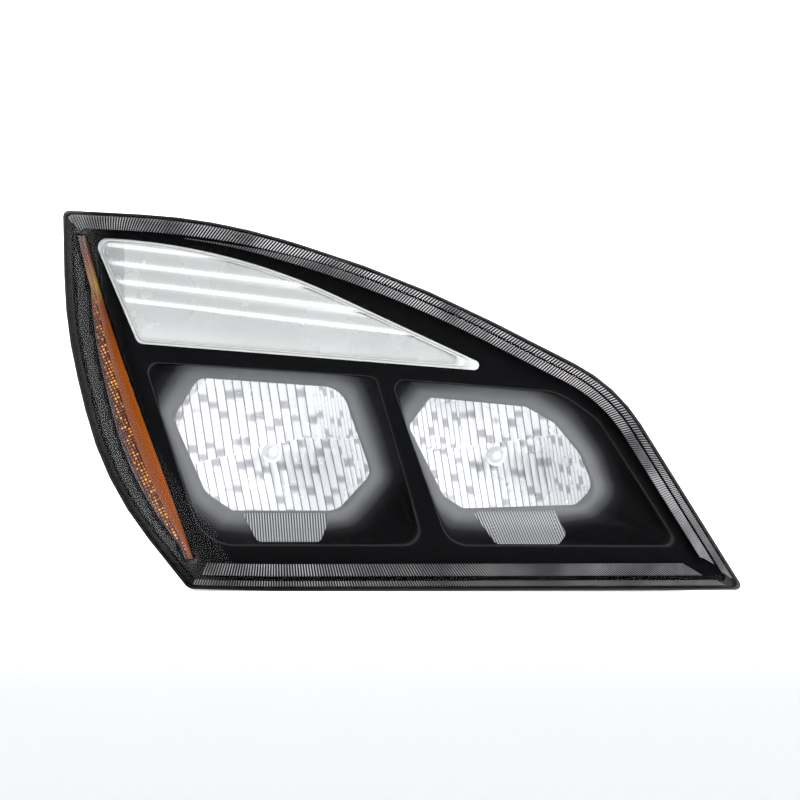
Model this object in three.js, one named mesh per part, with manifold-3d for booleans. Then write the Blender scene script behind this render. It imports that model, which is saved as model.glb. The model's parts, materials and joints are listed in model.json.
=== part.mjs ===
// Truck headlamp assembly for the right-hand side of the vehicle.
// Millimetres. X points inboard, Y points to the rear of the vehicle, Z points up.
// The lamp shines towards -Y. The origin is the centre of the assembly's bounding box.
import * as THREE from "three";
import { mergeVertices } from "three/addons/utils/BufferGeometryUtils.js";
import Module from "manifold-3d";

const wasm = await Module();
wasm.setup();

// ---------------------------------------------------------------------------------------------
// Driving dimensions
// ---------------------------------------------------------------------------------------------

const WALL = 3; // lens, bezel and housing wall
const GAP = 0.4; // clearance between neighbouring pieces
const ROUND = 18; // sides of a small round piece
const BIG_ROUND = 28; // sides of a large round piece

// An outline in the XZ plane is a list of corners, each [x, z, radius, steps in its arc, steps to the next].
const LAMP_OUTLINE = [
  [-349.7, 197.2, 6, 3, 3],
  [-192, 187.5, 640, 4, 1],
  [0, 130, 1200, 3, 1],
  [224, 15.5, 175, 4, 4],
  [355.4, -195.7, 5, 3, 8],
  [-130, -197.4, 60, 1, 4],
  [-218.4, -196.2, 12, 3, 2],
  [-308, -85, 340, 4, 1],
  [-347, 75, 480, 3, 1],
];
const BACK_OUTLINE = [
  [-316, 168, 26, 3, 3],
  [-150, 158, 300, 4, 1],
  [0, 112, 300, 3, 1],
  [185, 8, 60, 4, 4],
  [300, -168, 24, 3, 8],
  [-120, -173, 60, 1, 4],
  [-205, -171, 26, 3, 2],
  [-296, -80, 120, 4, 1],
  [-318, 70, 160, 3, 1],
];

// The lens face: swept back towards the outboard side, raked back towards the top, and wrapped round the
// outboard edge.
const TIP_X = 355;
const WIDTH = 705;
const BOTTOM_Z = -197;
const HEIGHT = 394;
const FACE_SWEEP = 95;
const FACE_RAKE = 40;
const WRAP_WIDTH = 75;
const WRAP_DEPTH = 95;
const WRAP_POWER = 2.3;

// The sealing channel round the lamp, as insets from the outline and depths behind the lens edge.
const LENS_INSET = 3.4;
const SKIRT = 24; // depth from the lens face to the channel
const CHANNEL_WRAP = { width: 150, depth: 90, power: 1.5 };
const CHANNEL_LIP = 2.2;
const CHANNEL_WIDTH = 10;
const BEZEL_INSET = 9;

// The inner trim lies this far behind the lens, and this far inside it where the lens wraps round.
const TRIM_GAP = 12;
const TRIM_SIDE_GAP = 7;
const WING_WIDTH = 28; // trim between the lamp's outboard edge and the amber lens
const SLAB_ROWS = 11;
const SLAB_WRAP = [-2, 10, 21, 34, 50, 70]; // distances of its columns from the outboard edge
const SLAB_WRAP_END = 92; // from here to the tip it has evenly spaced columns
const SLAB_PLAIN = 7;
const AMBER_TOP = { x: -324.5, z: 172 };
const AMBER_BOTTOM = { x: -211.5, z: -166 };
const AMBER_BOW = -36;
const AMBER_LEAST = 10; // its least width, at its two ends
// Columns of the amber lens: [share of its width, drop, sideways shift of the back, wall].
const AMBER_COLUMNS = [
  [0, 0, 0, 2.6],
  [0.35, 0, 0.5, 2.6],
  [0.4, 1.5, 1.4, 2.6],
  [0.7, 0, 2, 2.2],
  [1, 0, 2.2, 2],
];
const AMBER_STEPS = 10;

// Windows and pockets of the bezel, in the same form as the lamp outline.
const TURN_WINDOW = [
  [-314, 165.8, 9, 3, 1],
  [-178.2, 158, 640, 7, 2],
  [94.8, 30.9, 5, 3, 8],
  [-268.8, 59.7, 10, 3, 2],
];
const LOW_WINDOW = [
  [-208, 22.7, 14, 3, 2],
  [-59.7, 12.4, 28, 3, 2],
  [-28.8, -76.2, 14, 3, 1],
  [-63.9, -114.3, 22, 3, 2],
  [-172, -114.3, 6, 2, 1],
  [-199.8, -95.8, 25, 2, 2],
  [-233.8, -18.5, 8, 3, 1],
];
const HIGH_WINDOW = [
  [31.8, 2.2, 4, 2, 2],
  [130.2, -7.1, 12, 2, 1],
  [159.6, -23.7, 15, 2, 1],
  [185.4, -54.9, 40, 2, 1],
  [200, -90, 16, 3, 1],
  [181.7, -108.2, 12, 2, 2],
  [65.9, -111.9, 8, 2, 1],
  [45.6, -98.9, 10, 2, 2],
  [9.8, -27.3, 8, 3, 1],
];
const LOW_POCKET = [
  [-264.7, 40.2, 10, 3, 3],
  [-22.7, 24.7, 10, 3, 3],
  [28.8, -151.4, 16, 3, 3],
  [-203, -151.4, 46, 4, 3],
];
const HIGH_POCKET = [
  [-10, 22.7, 10, 3, 3],
  [165, 9.3, 60, 3, 1],
  [206, -19.6, 60, 3, 2],
  [291.5, -152.4, 8, 3, 3],
  [50.5, -151.4, 30, 3, 3],
];
const FUNNEL_DEPTH = 28;

// Optics. A reflector is a paraboloid round its bulb axis, walled forward to the window's outline.
const BEAM_FOCUS = 34;
const BOWL_WALL = 2.5;
const BOWL_SIDES = 28;
const BOWL_SHARES = [0, 0.3, 0.62, 1];
const BOWL_MARGIN = 8; // the bowl's mouth is this much larger than its window
const MOUTH_GAP = 5; // from the funnel's rear edge to the bowl's mouth
const BOWL_LIP = 1; // the bowl's least depth behind its mouth
const BOWL_REAR = 3.75; // the bowl's wall along Y
const LOW = { x: -132, z: -55, vertex: 200, plate: 174 };
const HIGH = { x: 100, z: -58, vertex: 165, plate: 139 };
const TURN = { x: -190, z: 95, vertex: 222, focus: 48 };
const MARKER = { x: -280, z: 8 };
const EAR_ANGLES = [45, 165, 285]; // three screws hold each bowl to the carrier
const EAR_RADIUS = 69;
const CARRIER_HOLE = 64; // round each bowl
const TURN_WALL = 2;
const TURN_REAR = 8; // the same wall along Y, where its sides are steep
const BULB_HOLE = 15.2;

// The carrier's two plates, in the same form as the lamp outline, one behind each bowl.
const CARRIER_LOW = [
  [-205, 20, 12, 2, 1],
  [-18, 20, 4, 1, 1],
  [-18, -152, 10, 2, 1],
  [-160, -152, 20, 2, 1],
  [-262, -68, 10, 2, 1],
  [-262, -30, 10, 2, 1],
];
const CARRIER_HIGH = [
  [-22, 18, 4, 1, 1],
  [150, 18, 12, 2, 1],
  [216, -34, 8, 2, 1],
  [216, -68, 8, 2, 1],
  [150, -136, 12, 2, 1],
  [-22, -136, 4, 1, 1],
];
const PLATE = 4;

// Housing back wall and what stands on it.
const BACK_Y = 280;
const PAD_Y = 306; // the four mounting pads share this plane
const PAD_RADIUS = 15;
const PADS = {
  upper_outboard: { x: -272, z: 128 },
  upper_inboard: { x: 46, z: 58 },
  lower_inboard: { x: 236, z: -134 },
  lower_outboard: { x: -212, z: -134 },
};
const INSERT_RADIUS = 6;
const INSERT_BORE = 4.2;
const INSERT_LENGTH = 16.4;
const COLLAR_RADIUS = 44;
const RIB_HEIGHT = 5;
const RIB_WIDTH = 2.4;
const TURN_SOCKET_RADIUS = 15.5;
const MARKER_SOCKET_RADIUS = 9.5;
const INLET = { x: -62, z: 58 }; // the harness socket, with two rows of pins
const INLET_PINS = [-12, -4, 4, 12].flatMap((dx) => [[dx, -4], [dx, 4]]);
const INLET_SCREWS = [-27, 27]; // sideways from its middle
const BREATHERS = [
  { x: -120, z: 128 },
  { x: 190, z: -100 },
];

// Aiming. The carrier tilts about an X axis through two ball studs. A screw moves a third ball at its foot.
const AXIS_Y = 150;
const AXIS_Z = -50;
const PIVOT_LEFT = { x: -240, z: AXIS_Z, post: 188 }; // its post on the housing reaches this far forward
const PIVOT_RIGHT = { x: 200, z: AXIS_Z, post: 164 };
const AIM = { x: -62, z: -138 };
const BALL = 5.5;
const SOCKET_BORE = 7;
const SOCKET_WALL = 9.5;

// ---------------------------------------------------------------------------------------------
// Geometry helpers
// ---------------------------------------------------------------------------------------------

const lerp = THREE.MathUtils.lerp;
const clamp = THREE.MathUtils.clamp;

// The points of an outline moved inwards by inset. Every point moves in a straight line as the inset
// grows, because large arcs stay concentric and small ones shrink slowly, so two insets always have
// matching points.
function outlineAt(corners, inset = 0) {
  const count = corners.length;
  const at = (i) => new THREE.Vector2(...corners[(i + count) % count]);
  const lines = corners.map((_, i) => {
    const start = at(i);
    const along = at(i + 1).sub(start).normalize();
    const inward = new THREE.Vector2(along.y, -along.x);
    return { point: start.addScaledVector(inward, inset), along };
  });
  const tangents = corners.map(([, , radius], i) => {
    const before = lines[(i + count - 1) % count];
    const after = lines[i];
    const offset = after.point.clone().sub(before.point);
    const distance = offset.cross(after.along) / before.along.cross(after.along);
    const corner = before.point.clone().addScaledVector(before.along, distance);
    const turn = Math.acos(clamp(before.along.dot(after.along), -1, 1));
    const arc = radius > 20 ? radius - inset : radius * (1 - inset / 100);
    const reach = arc * Math.tan(turn / 2);
    const start = corner.clone().addScaledVector(before.along, -reach);
    const centre = start.clone().add(new THREE.Vector2(before.along.y, -before.along.x).multiplyScalar(arc));
    return { start, centre, turn, end: corner.clone().addScaledVector(after.along, reach) };
  });
  return corners.flatMap(([, , , arcSteps, edgeSteps], i) => {
    const { start, centre, turn, end } = tangents[i];
    const next = tangents[(i + 1) % count].start;
    const arc = Array.from({ length: arcSteps }, (_, k) =>
      start.clone().rotateAround(centre, (-turn * k) / arcSteps),
    );
    const edge = Array.from({ length: edgeSteps }, (_, k) => end.clone().lerp(next, k / edgeSteps));
    return [...arc, ...edge];
  });
}

const evenly = (from, to, count) => Array.from({ length: count }, (_, k) => lerp(from, to, k / (count - 1)));

const evenAngles = (count) => Array.from({ length: count }, (_, k) => (-2 * Math.PI * k) / count);

// The directions from a centre to every point of some outlines, in order round it.
function anglesTo(centre, ...outlines) {
  const angles = outlines.flat().map((p) => Math.atan2(p.y - centre.z, p.x - centre.x));
  return angles.sort((a, b) => b - a).filter((angle, i, all) => i === 0 || all[i - 1] - angle > 0.02);
}

// The points where rays from a centre, at the given angles, meet an outline.
function rayRing(outline, centre, angles) {
  return angles.map((angle) => {
    const ray = new THREE.Vector2(Math.cos(angle), Math.sin(angle));
    let reach = 0;
    outline.forEach((a, i) => {
      const edge = outline[(i + 1) % outline.length].clone().sub(a);
      const from = a.clone().sub(new THREE.Vector2(centre.x, centre.z));
      const across = ray.cross(edge);
      if (Math.abs(across) < 1e-9) return;
      const share = from.cross(ray) / across;
      const distance = from.cross(edge) / across;
      if (share >= -1e-9 && share <= 1 + 1e-9 && distance > reach) reach = distance;
    });
    return new THREE.Vector2(centre.x + ray.x * reach, centre.z + ray.y * reach);
  });
}

const circleRing = (centre, radius, angles) =>
  angles.map((a) => new THREE.Vector2(centre.x + radius * Math.cos(a), centre.z + radius * Math.sin(a)));

// Lifts a ring of XZ points to a depth, which is a number or a function of the point and its index.
function ringAt(points, depth) {
  return points.map((p, i) => {
    const y = typeof depth === "function" ? depth(p.x, p.y, i) : depth;
    return new THREE.Vector3(p.x, y, p.y);
  });
}

function signedVolume(position, index) {
  const [a, b, c] = [new THREE.Vector3(), new THREE.Vector3(), new THREE.Vector3()];
  let sum = 0;
  for (let i = 0; i < index.length; i += 3) {
    a.fromBufferAttribute(position, index[i]);
    b.fromBufferAttribute(position, index[i + 1]);
    c.fromBufferAttribute(position, index[i + 2]);
    sum += a.dot(b.cross(c)) / 6;
  }
  return sum;
}

// Merges shared vertices, drops collapsed faces and turns the faces outwards.
function closed(geometry) {
  const bare = new THREE.BufferGeometry().setAttribute("position", geometry.getAttribute("position"));
  bare.setIndex(geometry.index);
  const merged = mergeVertices(bare, 1e-4);
  const source = merged.index.array;
  const index = [];
  for (let i = 0; i < source.length; i += 3) {
    const [a, b, c] = [source[i], source[i + 1], source[i + 2]];
    if (a !== b && b !== c && c !== a) index.push(a, b, c);
  }
  if (signedVolume(merged.getAttribute("position"), index) < 0) index.reverse();
  merged.setIndex(index);
  merged.computeVertexNormals();
  return merged;
}

// A closed solid through matching rings: a loop of them, or a stack with its two ends capped.
function ringSolid(rings, loop = false) {
  const count = rings[0].length;
  const points = rings.flat();
  const index = [];
  const bands = loop ? rings.length : rings.length - 1;
  for (let j = 0; j < bands; j++) {
    const a = j * count;
    const b = ((j + 1) % rings.length) * count;
    for (let i = 0; i < count; i++) {
      const k = (i + 1) % count;
      index.push(a + i, a + k, b + k, a + i, b + k, b + i);
    }
  }
  if (!loop) {
    const lastStart = points.length - count;
    const middle = (ring) => ring.reduce((s, p) => s.add(p), new THREE.Vector3()).divideScalar(count);
    points.push(middle(rings[0]), middle(rings.at(-1)));
    for (let i = 0; i < count; i++) {
      const k = (i + 1) % count;
      index.push(points.length - 2, k, i);
      index.push(points.length - 1, lastStart + i, lastStart + k);
    }
  }
  return closed(new THREE.BufferGeometry().setFromPoints(points).setIndex(index));
}

// A closed solid between two matching grids of points, each a list of rows.
function sheetSolid(front, back) {
  const across = front[0].length;
  const last = front.length - 1;
  const behind = front.length * across;
  const index = [];
  const quad = (a, b, c, d) => index.push(a, b, c, a, c, d);
  const at = (j, i) => j * across + i;
  for (let j = 0; j < last; j++) {
    for (let i = 0; i < across - 1; i++) {
      const corners = [at(j, i), at(j, i + 1), at(j + 1, i + 1), at(j + 1, i)];
      quad(...corners);
      quad(...corners.reverse().map((k) => k + behind));
    }
  }
  for (let i = 0; i < across - 1; i++) {
    quad(at(0, i + 1), at(0, i), at(0, i) + behind, at(0, i + 1) + behind);
    quad(at(last, i), at(last, i + 1), at(last, i + 1) + behind, at(last, i) + behind);
  }
  for (let j = 0; j < last; j++) {
    const right = across - 1;
    quad(at(j, 0), at(j + 1, 0), at(j + 1, 0) + behind, at(j, 0) + behind);
    quad(at(j + 1, right), at(j, right), at(j, right) + behind, at(j + 1, right) + behind);
  }
  const points = [...front.flat(), ...back.flat()];
  return closed(new THREE.BufferGeometry().setFromPoints(points).setIndex(index));
}

function toManifold(geometry) {
  const source = closed(geometry);
  return new wasm.Manifold(
    new wasm.Mesh({
      numProp: 3,
      vertProperties: new Float32Array(source.getAttribute("position").array),
      triVerts: new Uint32Array(source.index.array),
    }),
  );
}

function fromManifold(solid) {
  const mesh = solid.getMesh();
  const geometry = new THREE.BufferGeometry();
  geometry.setAttribute("position", new THREE.BufferAttribute(mesh.vertProperties, 3));
  geometry.setIndex(new THREE.BufferAttribute(mesh.triVerts, 1));
  geometry.computeVertexNormals();
  return geometry;
}

const join = (...shapes) => fromManifold(shapes.map(toManifold).reduce((a, b) => a.add(b)));
const clip = (base, tool) => fromManifold(toManifold(base).intersect(toManifold(tool)));
const cut = (base, ...tools) =>
  fromManifold(tools.map(toManifold).reduce((a, b) => a.subtract(b), toManifold(base)));

// A straight prism of an XZ outline between two depths.
const prism = (points, front, back) => ringSolid([ringAt(points, front), ringAt(points, back)]);

// A turned piece about a Y axis through centre, from [radius, y] points.
function turned(profile, centre, sides = ROUND) {
  const points = profile.map(([radius, y]) => new THREE.Vector2(radius, y));
  return closed(new THREE.LatheGeometry(points, sides).translate(centre.x, 0, centre.z));
}

const rod = (radius, front, back, centre, sides = ROUND) =>
  turned([[0, front], [radius, front], [radius, back], [0, back]], centre, sides);

const ringOf = (inner, outer, front, back, centre, sides = ROUND) =>
  turned([[inner, front], [outer, front], [outer, back], [inner, back], [inner, front]], centre, sides);

const block = (x0, x1, y0, y1, z0, z1) =>
  new THREE.BoxGeometry(x1 - x0, y1 - y0, z1 - z0).translate((x0 + x1) / 2, (y0 + y1) / 2, (z0 + z1) / 2);

// ---------------------------------------------------------------------------------------------
// The lamp's surfaces
// ---------------------------------------------------------------------------------------------

const lampEdge = outlineAt(LAMP_OUTLINE);

// The outboard edge of the lamp at height z.
function leftEdge(z) {
  const height = clamp(z, BOTTOM_Z + 1, BOTTOM_Z + HEIGHT - 4);
  let x = 0;
  lampEdge.forEach((a, i) => {
    const b = lampEdge[(i + 1) % lampEdge.length];
    if ((a.y - height) * (b.y - height) > 0 || a.y === b.y) return;
    x = Math.min(x, lerp(a.x, b.x, (height - a.y) / (b.y - a.y)));
  });
  return x;
}

const face = (x, z) => FACE_SWEEP * ((TIP_X - x) / WIDTH) ** 2 + (FACE_RAKE * (z - BOTTOM_Z)) / HEIGHT;

function lensFace(x, z) {
  const share = clamp(1 - (x - leftEdge(z)) / WRAP_WIDTH, 0, 1);
  return face(x, z) + WRAP_DEPTH * share ** WRAP_POWER;
}

const trimFace = (x, z) => Math.max(face(x, z) + TRIM_GAP, lensFace(x - TRIM_SIDE_GAP, z) + TRIM_SIDE_GAP);

// The inboard edge of the amber side lens at height z, a slanting line with a slight bow, and its
// outboard edge.
function amberEdge(z) {
  const share = (z - AMBER_BOTTOM.z) / (AMBER_TOP.z - AMBER_BOTTOM.z);
  return lerp(AMBER_BOTTOM.x, AMBER_TOP.x, share) + AMBER_BOW * share ** 2 * (1 - share);
}
const wingEdge = (z) => Math.min(leftEdge(z) + WING_WIDTH, amberEdge(z) - AMBER_LEAST);

// Moves a ring off its surface by thickness, along the surface's normal to the rear.
function offsetRing(ring, surface, thickness) {
  const reach = 0.5;
  return ring.map((p) => {
    const slopeX = (surface(p.x + reach, p.z) - surface(p.x - reach, p.z)) / (2 * reach);
    const slopeZ = (surface(p.x, p.z + reach) - surface(p.x, p.z - reach)) / (2 * reach);
    return new THREE.Vector3(-slopeX, 1, -slopeZ).setLength(thickness).add(p);
  });
}

// The depth of the sealing channel beside each point of the lamp's edge. It runs back more gently than
// the lens.
const channelDepth = outlineAt(LAMP_OUTLINE, LENS_INSET).map((p) => {
  const share = clamp(1 - (p.x - leftEdge(p.y)) / CHANNEL_WRAP.width, 0, 1);
  return face(p.x, p.y) + SKIRT + CHANNEL_WRAP.depth * share ** CHANNEL_WRAP.power;
});
const atChannel = (inset, offset) =>
  ringAt(outlineAt(LAMP_OUTLINE, inset), (x, z, i) => channelDepth[i] + offset);

// A slab of the trim surface, shifted and of the given thickness, larger than the lamp all round.
function trimSlab(shift, thickness) {
  const over = 4;
  const heights = evenly(BOTTOM_Z - over, BOTTOM_Z + HEIGHT + over, SLAB_ROWS);
  const rows = heights.map((z) => {
    const left = leftEdge(z);
    const xs = [...SLAB_WRAP.map((u) => left + u), ...evenly(left + SLAB_WRAP_END, TIP_X + over, SLAB_PLAIN)];
    return xs.map((x) => new THREE.Vector3(x, trimFace(x, z) + shift, z));
  });
  const back = rows.map((row) => row.map((p) => p.clone().setY(p.y + thickness)));
  return sheetSolid(rows, back);
}

// Rings of a lamp-shaped outline drawn in to its middle by the given shares.
function inwardRings(outline, shares) {
  const middle = outline.reduce((s, p) => s.add(p), new THREE.Vector2()).divideScalar(outline.length);
  return shares.map((share) => outline.map((p) => p.clone().lerp(middle, share)));
}

// ---------------------------------------------------------------------------------------------
// Lens, seal and inner trim
// ---------------------------------------------------------------------------------------------

// Rim of the lens: [inset, drop behind the face], from the skirt to the open face.
const LENS_RIM = [
  [3.4, 9],
  [5, 5],
  [13, 2.5],
  [14.5, 0],
  [25, 0],
  [38, 0],
  [56, 0],
];
const FACE_SHARES = [0.3, 0.7];

function outerLens() {
  const rim = LENS_RIM.map(([inset, drop]) =>
    ringAt(outlineAt(LAMP_OUTLINE, inset), (x, z) => lensFace(x, z) + drop),
  );
  const start = outlineAt(LAMP_OUTLINE, LENS_RIM.at(-1)[0]);
  const open = inwardRings(start, FACE_SHARES).map((ring) => ringAt(ring, lensFace));
  const inner = [...rim.slice(2), ...open].map((r) => offsetRing(r, lensFace, WALL));
  const skirtEnd = atChannel(LENS_INSET, 0);
  const skirtInside = atChannel(LENS_INSET + WALL, 0);
  const shoulder = ringAt(outlineAt(LAMP_OUTLINE, LENS_INSET + WALL), (x, z) => lensFace(x, z) + 11);
  const outside = [skirtEnd, ...rim, ...open].reverse();
  return ringSolid([...outside, skirtInside, shoulder, ...inner]);
}

const lensSeal = () =>
  ringSolid(
    [
      atChannel(CHANNEL_LIP + GAP, 0.9),
      atChannel(CHANNEL_LIP + GAP, 3 - GAP),
      atChannel(CHANNEL_WIDTH - GAP, 3 - GAP),
      atChannel(CHANNEL_WIDTH - GAP, 0.9),
    ],
    true,
  );

// A funnel of the bezel, from its pocket in the trim back to its window.
function funnel(pocket, window, centre) {
  const angles = anglesTo(centre, outlineAt(pocket, -1), outlineAt(window));
  const mouth = rayRing(outlineAt(pocket, -1), centre, angles);
  const edge = rayRing(outlineAt(window), centre, angles);
  const behind = rayRing(outlineAt(window, -WALL), centre, angles);
  return ringSolid(
    [
      ringAt(mouth, (x, z) => trimFace(x, z) + 0.9),
      ringAt(edge, (x, z) => trimFace(x, z) + FUNNEL_DEPTH),
      ringAt(behind, (x, z) => trimFace(x, z) + FUNNEL_DEPTH),
      ringAt(mouth, (x, z) => trimFace(x, z) + 2.1),
    ],
    true,
  );
}

const amberRows = (inset) => evenly(AMBER_BOTTOM.z + inset, AMBER_TOP.z - inset, AMBER_STEPS + 1);

function amberOpening() {
  const rows = amberRows(0);
  const right = rows.map((z) => new THREE.Vector2(amberEdge(z), z));
  const left = rows.map((z) => new THREE.Vector2(wingEdge(z), z));
  return [...left, ...right.reverse()];
}

function bezel() {
  const through = (outline) => prism(outline, -50, BACK_Y);
  const sheet = clip(trimSlab(0, WALL), through(outlineAt(LAMP_OUTLINE, BEZEL_INSET)));
  const opened = cut(
    sheet,
    through(outlineAt(LOW_POCKET)),
    through(outlineAt(HIGH_POCKET)),
    through(outlineAt(TURN_WINDOW)),
    through(amberOpening()),
  );
  return join(opened, funnel(LOW_POCKET, LOW_WINDOW, LOW), funnel(HIGH_POCKET, HIGH_WINDOW, HIGH));
}

// ---------------------------------------------------------------------------------------------
// Turn signal and side marker
// ---------------------------------------------------------------------------------------------

const turnInnerLens = () =>
  clip(trimSlab(-1, WALL), prism(outlineAt(TURN_WINDOW, GAP + 0.2), -50, BACK_Y));

function turnReflector() {
  const angles = anglesTo(TURN, outlineAt(TURN_WINDOW));
  const mouth = rayRing(outlineAt(TURN_WINDOW, -0.8), TURN, angles);
  const outer = rayRing(outlineAt(TURN_WINDOW, -0.8 - TURN_WALL), TURN, angles);
  const start = circleRing(TURN, 16.5, angles);
  const mouthDepth = (x, z) => trimFace(x, z) + WALL + 2.6;
  const depth = (x, z) => {
    const radius = Math.hypot(x - TURN.x, z - TURN.z);
    return Math.max(TURN.vertex - radius ** 2 / (4 * TURN.focus), mouthDepth(x, z) + 12);
  };
  const between = (a, b, share) => a.map((p, i) => p.clone().lerp(b[i], share));
  const shares = evenly(0, 1, 9);
  const inside = shares.map((s) => ringAt(between(start, mouth, s), depth));
  const outside = shares.map((s) => ringAt(between(start, outer, s), (x, z) => depth(x, z) + TURN_REAR));
  const rims = [mouth, outer].map((ring) => ringAt(ring, mouthDepth));
  return ringSolid([...inside, ...rims, ...outside.reverse()], true);
}

// The amber lens: at each height a front band and a side band that follow the trim, with a crease
// between them.
function sideLens() {
  const front = amberRows(1.5).map((z) => {
    const [right, left] = [amberEdge(z) - GAP, wingEdge(z) + GAP];
    return AMBER_COLUMNS.map(([share, proud]) => {
      const x = lerp(right, left, share);
      return new THREE.Vector3(x, trimFace(x, z) + proud, z);
    });
  });
  const back = front.map((row) => {
    const tilt = (row[0].x - row.at(-1).x) / 40;
    const shift = ([, , sideways, thickness]) => new THREE.Vector3(sideways * tilt, thickness, 0);
    return row.map((p, i) => p.clone().add(shift(AMBER_COLUMNS[i])));
  });
  return sheetSolid(front, back);
}

// A chromed cone that carries the marker bulb's light forward to the amber lens.
const markerReflector = () =>
  turned(
    [
      [13, BACK_Y - 3.4],
      [13, BACK_Y - 30],
      [21, BACK_Y - 88],
      [22.5, BACK_Y - 88],
      [14.6, BACK_Y - 30],
      [14.6, BACK_Y - 6],
      [17, BACK_Y - 6],
      [17, BACK_Y - 3.4],
      [13, BACK_Y - 3.4],
    ],
    MARKER,
    14,
  );

// ---------------------------------------------------------------------------------------------
// Housing
// ---------------------------------------------------------------------------------------------

function housingShell() {
  const backAt = (inset, y) => ringAt(outlineAt(BACK_OUTLINE, inset), y);
  const neck = atChannel(CHANNEL_WIDTH + CHANNEL_LIP + 1, 12);
  const neckInside = atChannel(CHANNEL_WIDTH + CHANNEL_LIP + 1 + WALL, 12);
  const heel = backAt(0, BACK_Y - 12);
  const heelInside = backAt(WALL, BACK_Y - 12);
  return ringSolid([
    backAt(10, BACK_Y),
    backAt(3, BACK_Y - 4),
    heel,
    neck,
    atChannel(2, 9),
    atChannel(0, 6),
    atChannel(0, -7),
    atChannel(CHANNEL_LIP, -7),
    atChannel(CHANNEL_LIP, 3),
    atChannel(CHANNEL_WIDTH, 3),
    atChannel(CHANNEL_WIDTH, -3.5),
    atChannel(CHANNEL_WIDTH + CHANNEL_LIP, -3.5),
    neckInside,
    heelInside,
    backAt(WALL + 4, BACK_Y - WALL - 3),
    backAt(WALL + 9, BACK_Y - WALL),
  ]);
}

// Three bayonet lugs round a Y axis, the first one turned by the given degrees.
function lugs(centre, radius, width, front, back, degrees = 0) {
  return [0, 120, 240].map((step) =>
    new THREE.BoxGeometry(5, back - front, width)
      .translate(radius, (front + back) / 2, 0)
      .rotateY(((step + degrees) * Math.PI) / 180)
      .translate(centre.x, 0, centre.z),
  );
}

function ribsOnBack() {
  const rib = (a, b) => {
    const length = Math.hypot(b.x - a.x, b.z - a.z);
    const angle = Math.atan2(b.z - a.z, b.x - a.x);
    return new THREE.BoxGeometry(length, RIB_HEIGHT + 1, RIB_WIDTH)
      .rotateY(-angle)
      .translate((a.x + b.x) / 2, BACK_Y - 1 + (RIB_HEIGHT + 1) / 2, (a.z + b.z) / 2);
  };
  const route = [
    PADS.upper_outboard,
    { x: -186, z: 132 },
    PADS.upper_inboard,
    { x: 178, z: -20 },
    PADS.lower_inboard,
    { x: 20, z: -142 },
    PADS.lower_outboard,
  ];
  const ribs = route.slice(1).map((b, i) => rib(route[i], b));
  return [...ribs, rib({ x: -16, z: -142 }, { x: -16, z: 20 })];
}

function housing() {
  const pivots = [PIVOT_LEFT, PIVOT_RIGHT];
  const pads = Object.values(PADS).map((p) =>
    turned([[0, BACK_Y - 1], [PAD_RADIUS + 3, BACK_Y - 1], [PAD_RADIUS, PAD_Y], [0, PAD_Y]], p),
  );
  const collars = [LOW, HIGH].flatMap((c) => [
    ringOf(COLLAR_RADIUS - 4, COLLAR_RADIUS, BACK_Y - 1, BACK_Y + 10, c, BIG_ROUND),
    ...lugs(c, COLLAR_RADIUS, 16, BACK_Y + 6, BACK_Y + 9),
  ]);
  const posts = [
    ...pivots.map((p) => rod(8, p.post, BACK_Y - 1, p, 16)),
    rod(12, 203, BACK_Y - 1, AIM, 16),
  ];
  const sockets = [rod(21, BACK_Y - 1, BACK_Y + 4, TURN), rod(14.5, BACK_Y - 1, BACK_Y + 4, MARKER)];
  const solid = join(housingShell(), ...pads, ...collars, ...posts, ...sockets, ...ribsOnBack());
  const holes = [
    rod(COLLAR_RADIUS - 4, BACK_Y - 8, BACK_Y + 12, LOW, BIG_ROUND),
    rod(COLLAR_RADIUS - 4, BACK_Y - 8, BACK_Y + 12, HIGH, BIG_ROUND),
    rod(17, BACK_Y - 8, BACK_Y + 12, TURN),
    rod(10.5, BACK_Y - 8, BACK_Y + 12, MARKER),
    ...lugs(TURN, 16, 6, BACK_Y - 8, BACK_Y + 12, 45),
    ...lugs(MARKER, 9.5, 5, BACK_Y - 8, BACK_Y + 12, 45),
    ...pivots.map((p) => rod(3.6, p.post - 10, p.post + 34, p, 12)),
    rod(8.6, 190, BACK_Y - 12, AIM, 16),
    rod(6.6, 190, BACK_Y + 12, AIM, 16),
    rod(10.4, BACK_Y, BACK_Y + 12, AIM, 16),
    block(INLET.x - 20, INLET.x + 20, BACK_Y - 8, BACK_Y + 12, INLET.z - 11, INLET.z + 11),
    ...BREATHERS.map((c) => rod(4.6, BACK_Y - 8, BACK_Y + 12, c, 12)),
    ...Object.values(PADS).map((p) => rod(INSERT_RADIUS + GAP, PAD_Y - 17, PAD_Y + 1, p, 16)),
  ];
  return cut(solid, ...holes);
}

// ---------------------------------------------------------------------------------------------
// Reflectors and their carrier
// ---------------------------------------------------------------------------------------------

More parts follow.
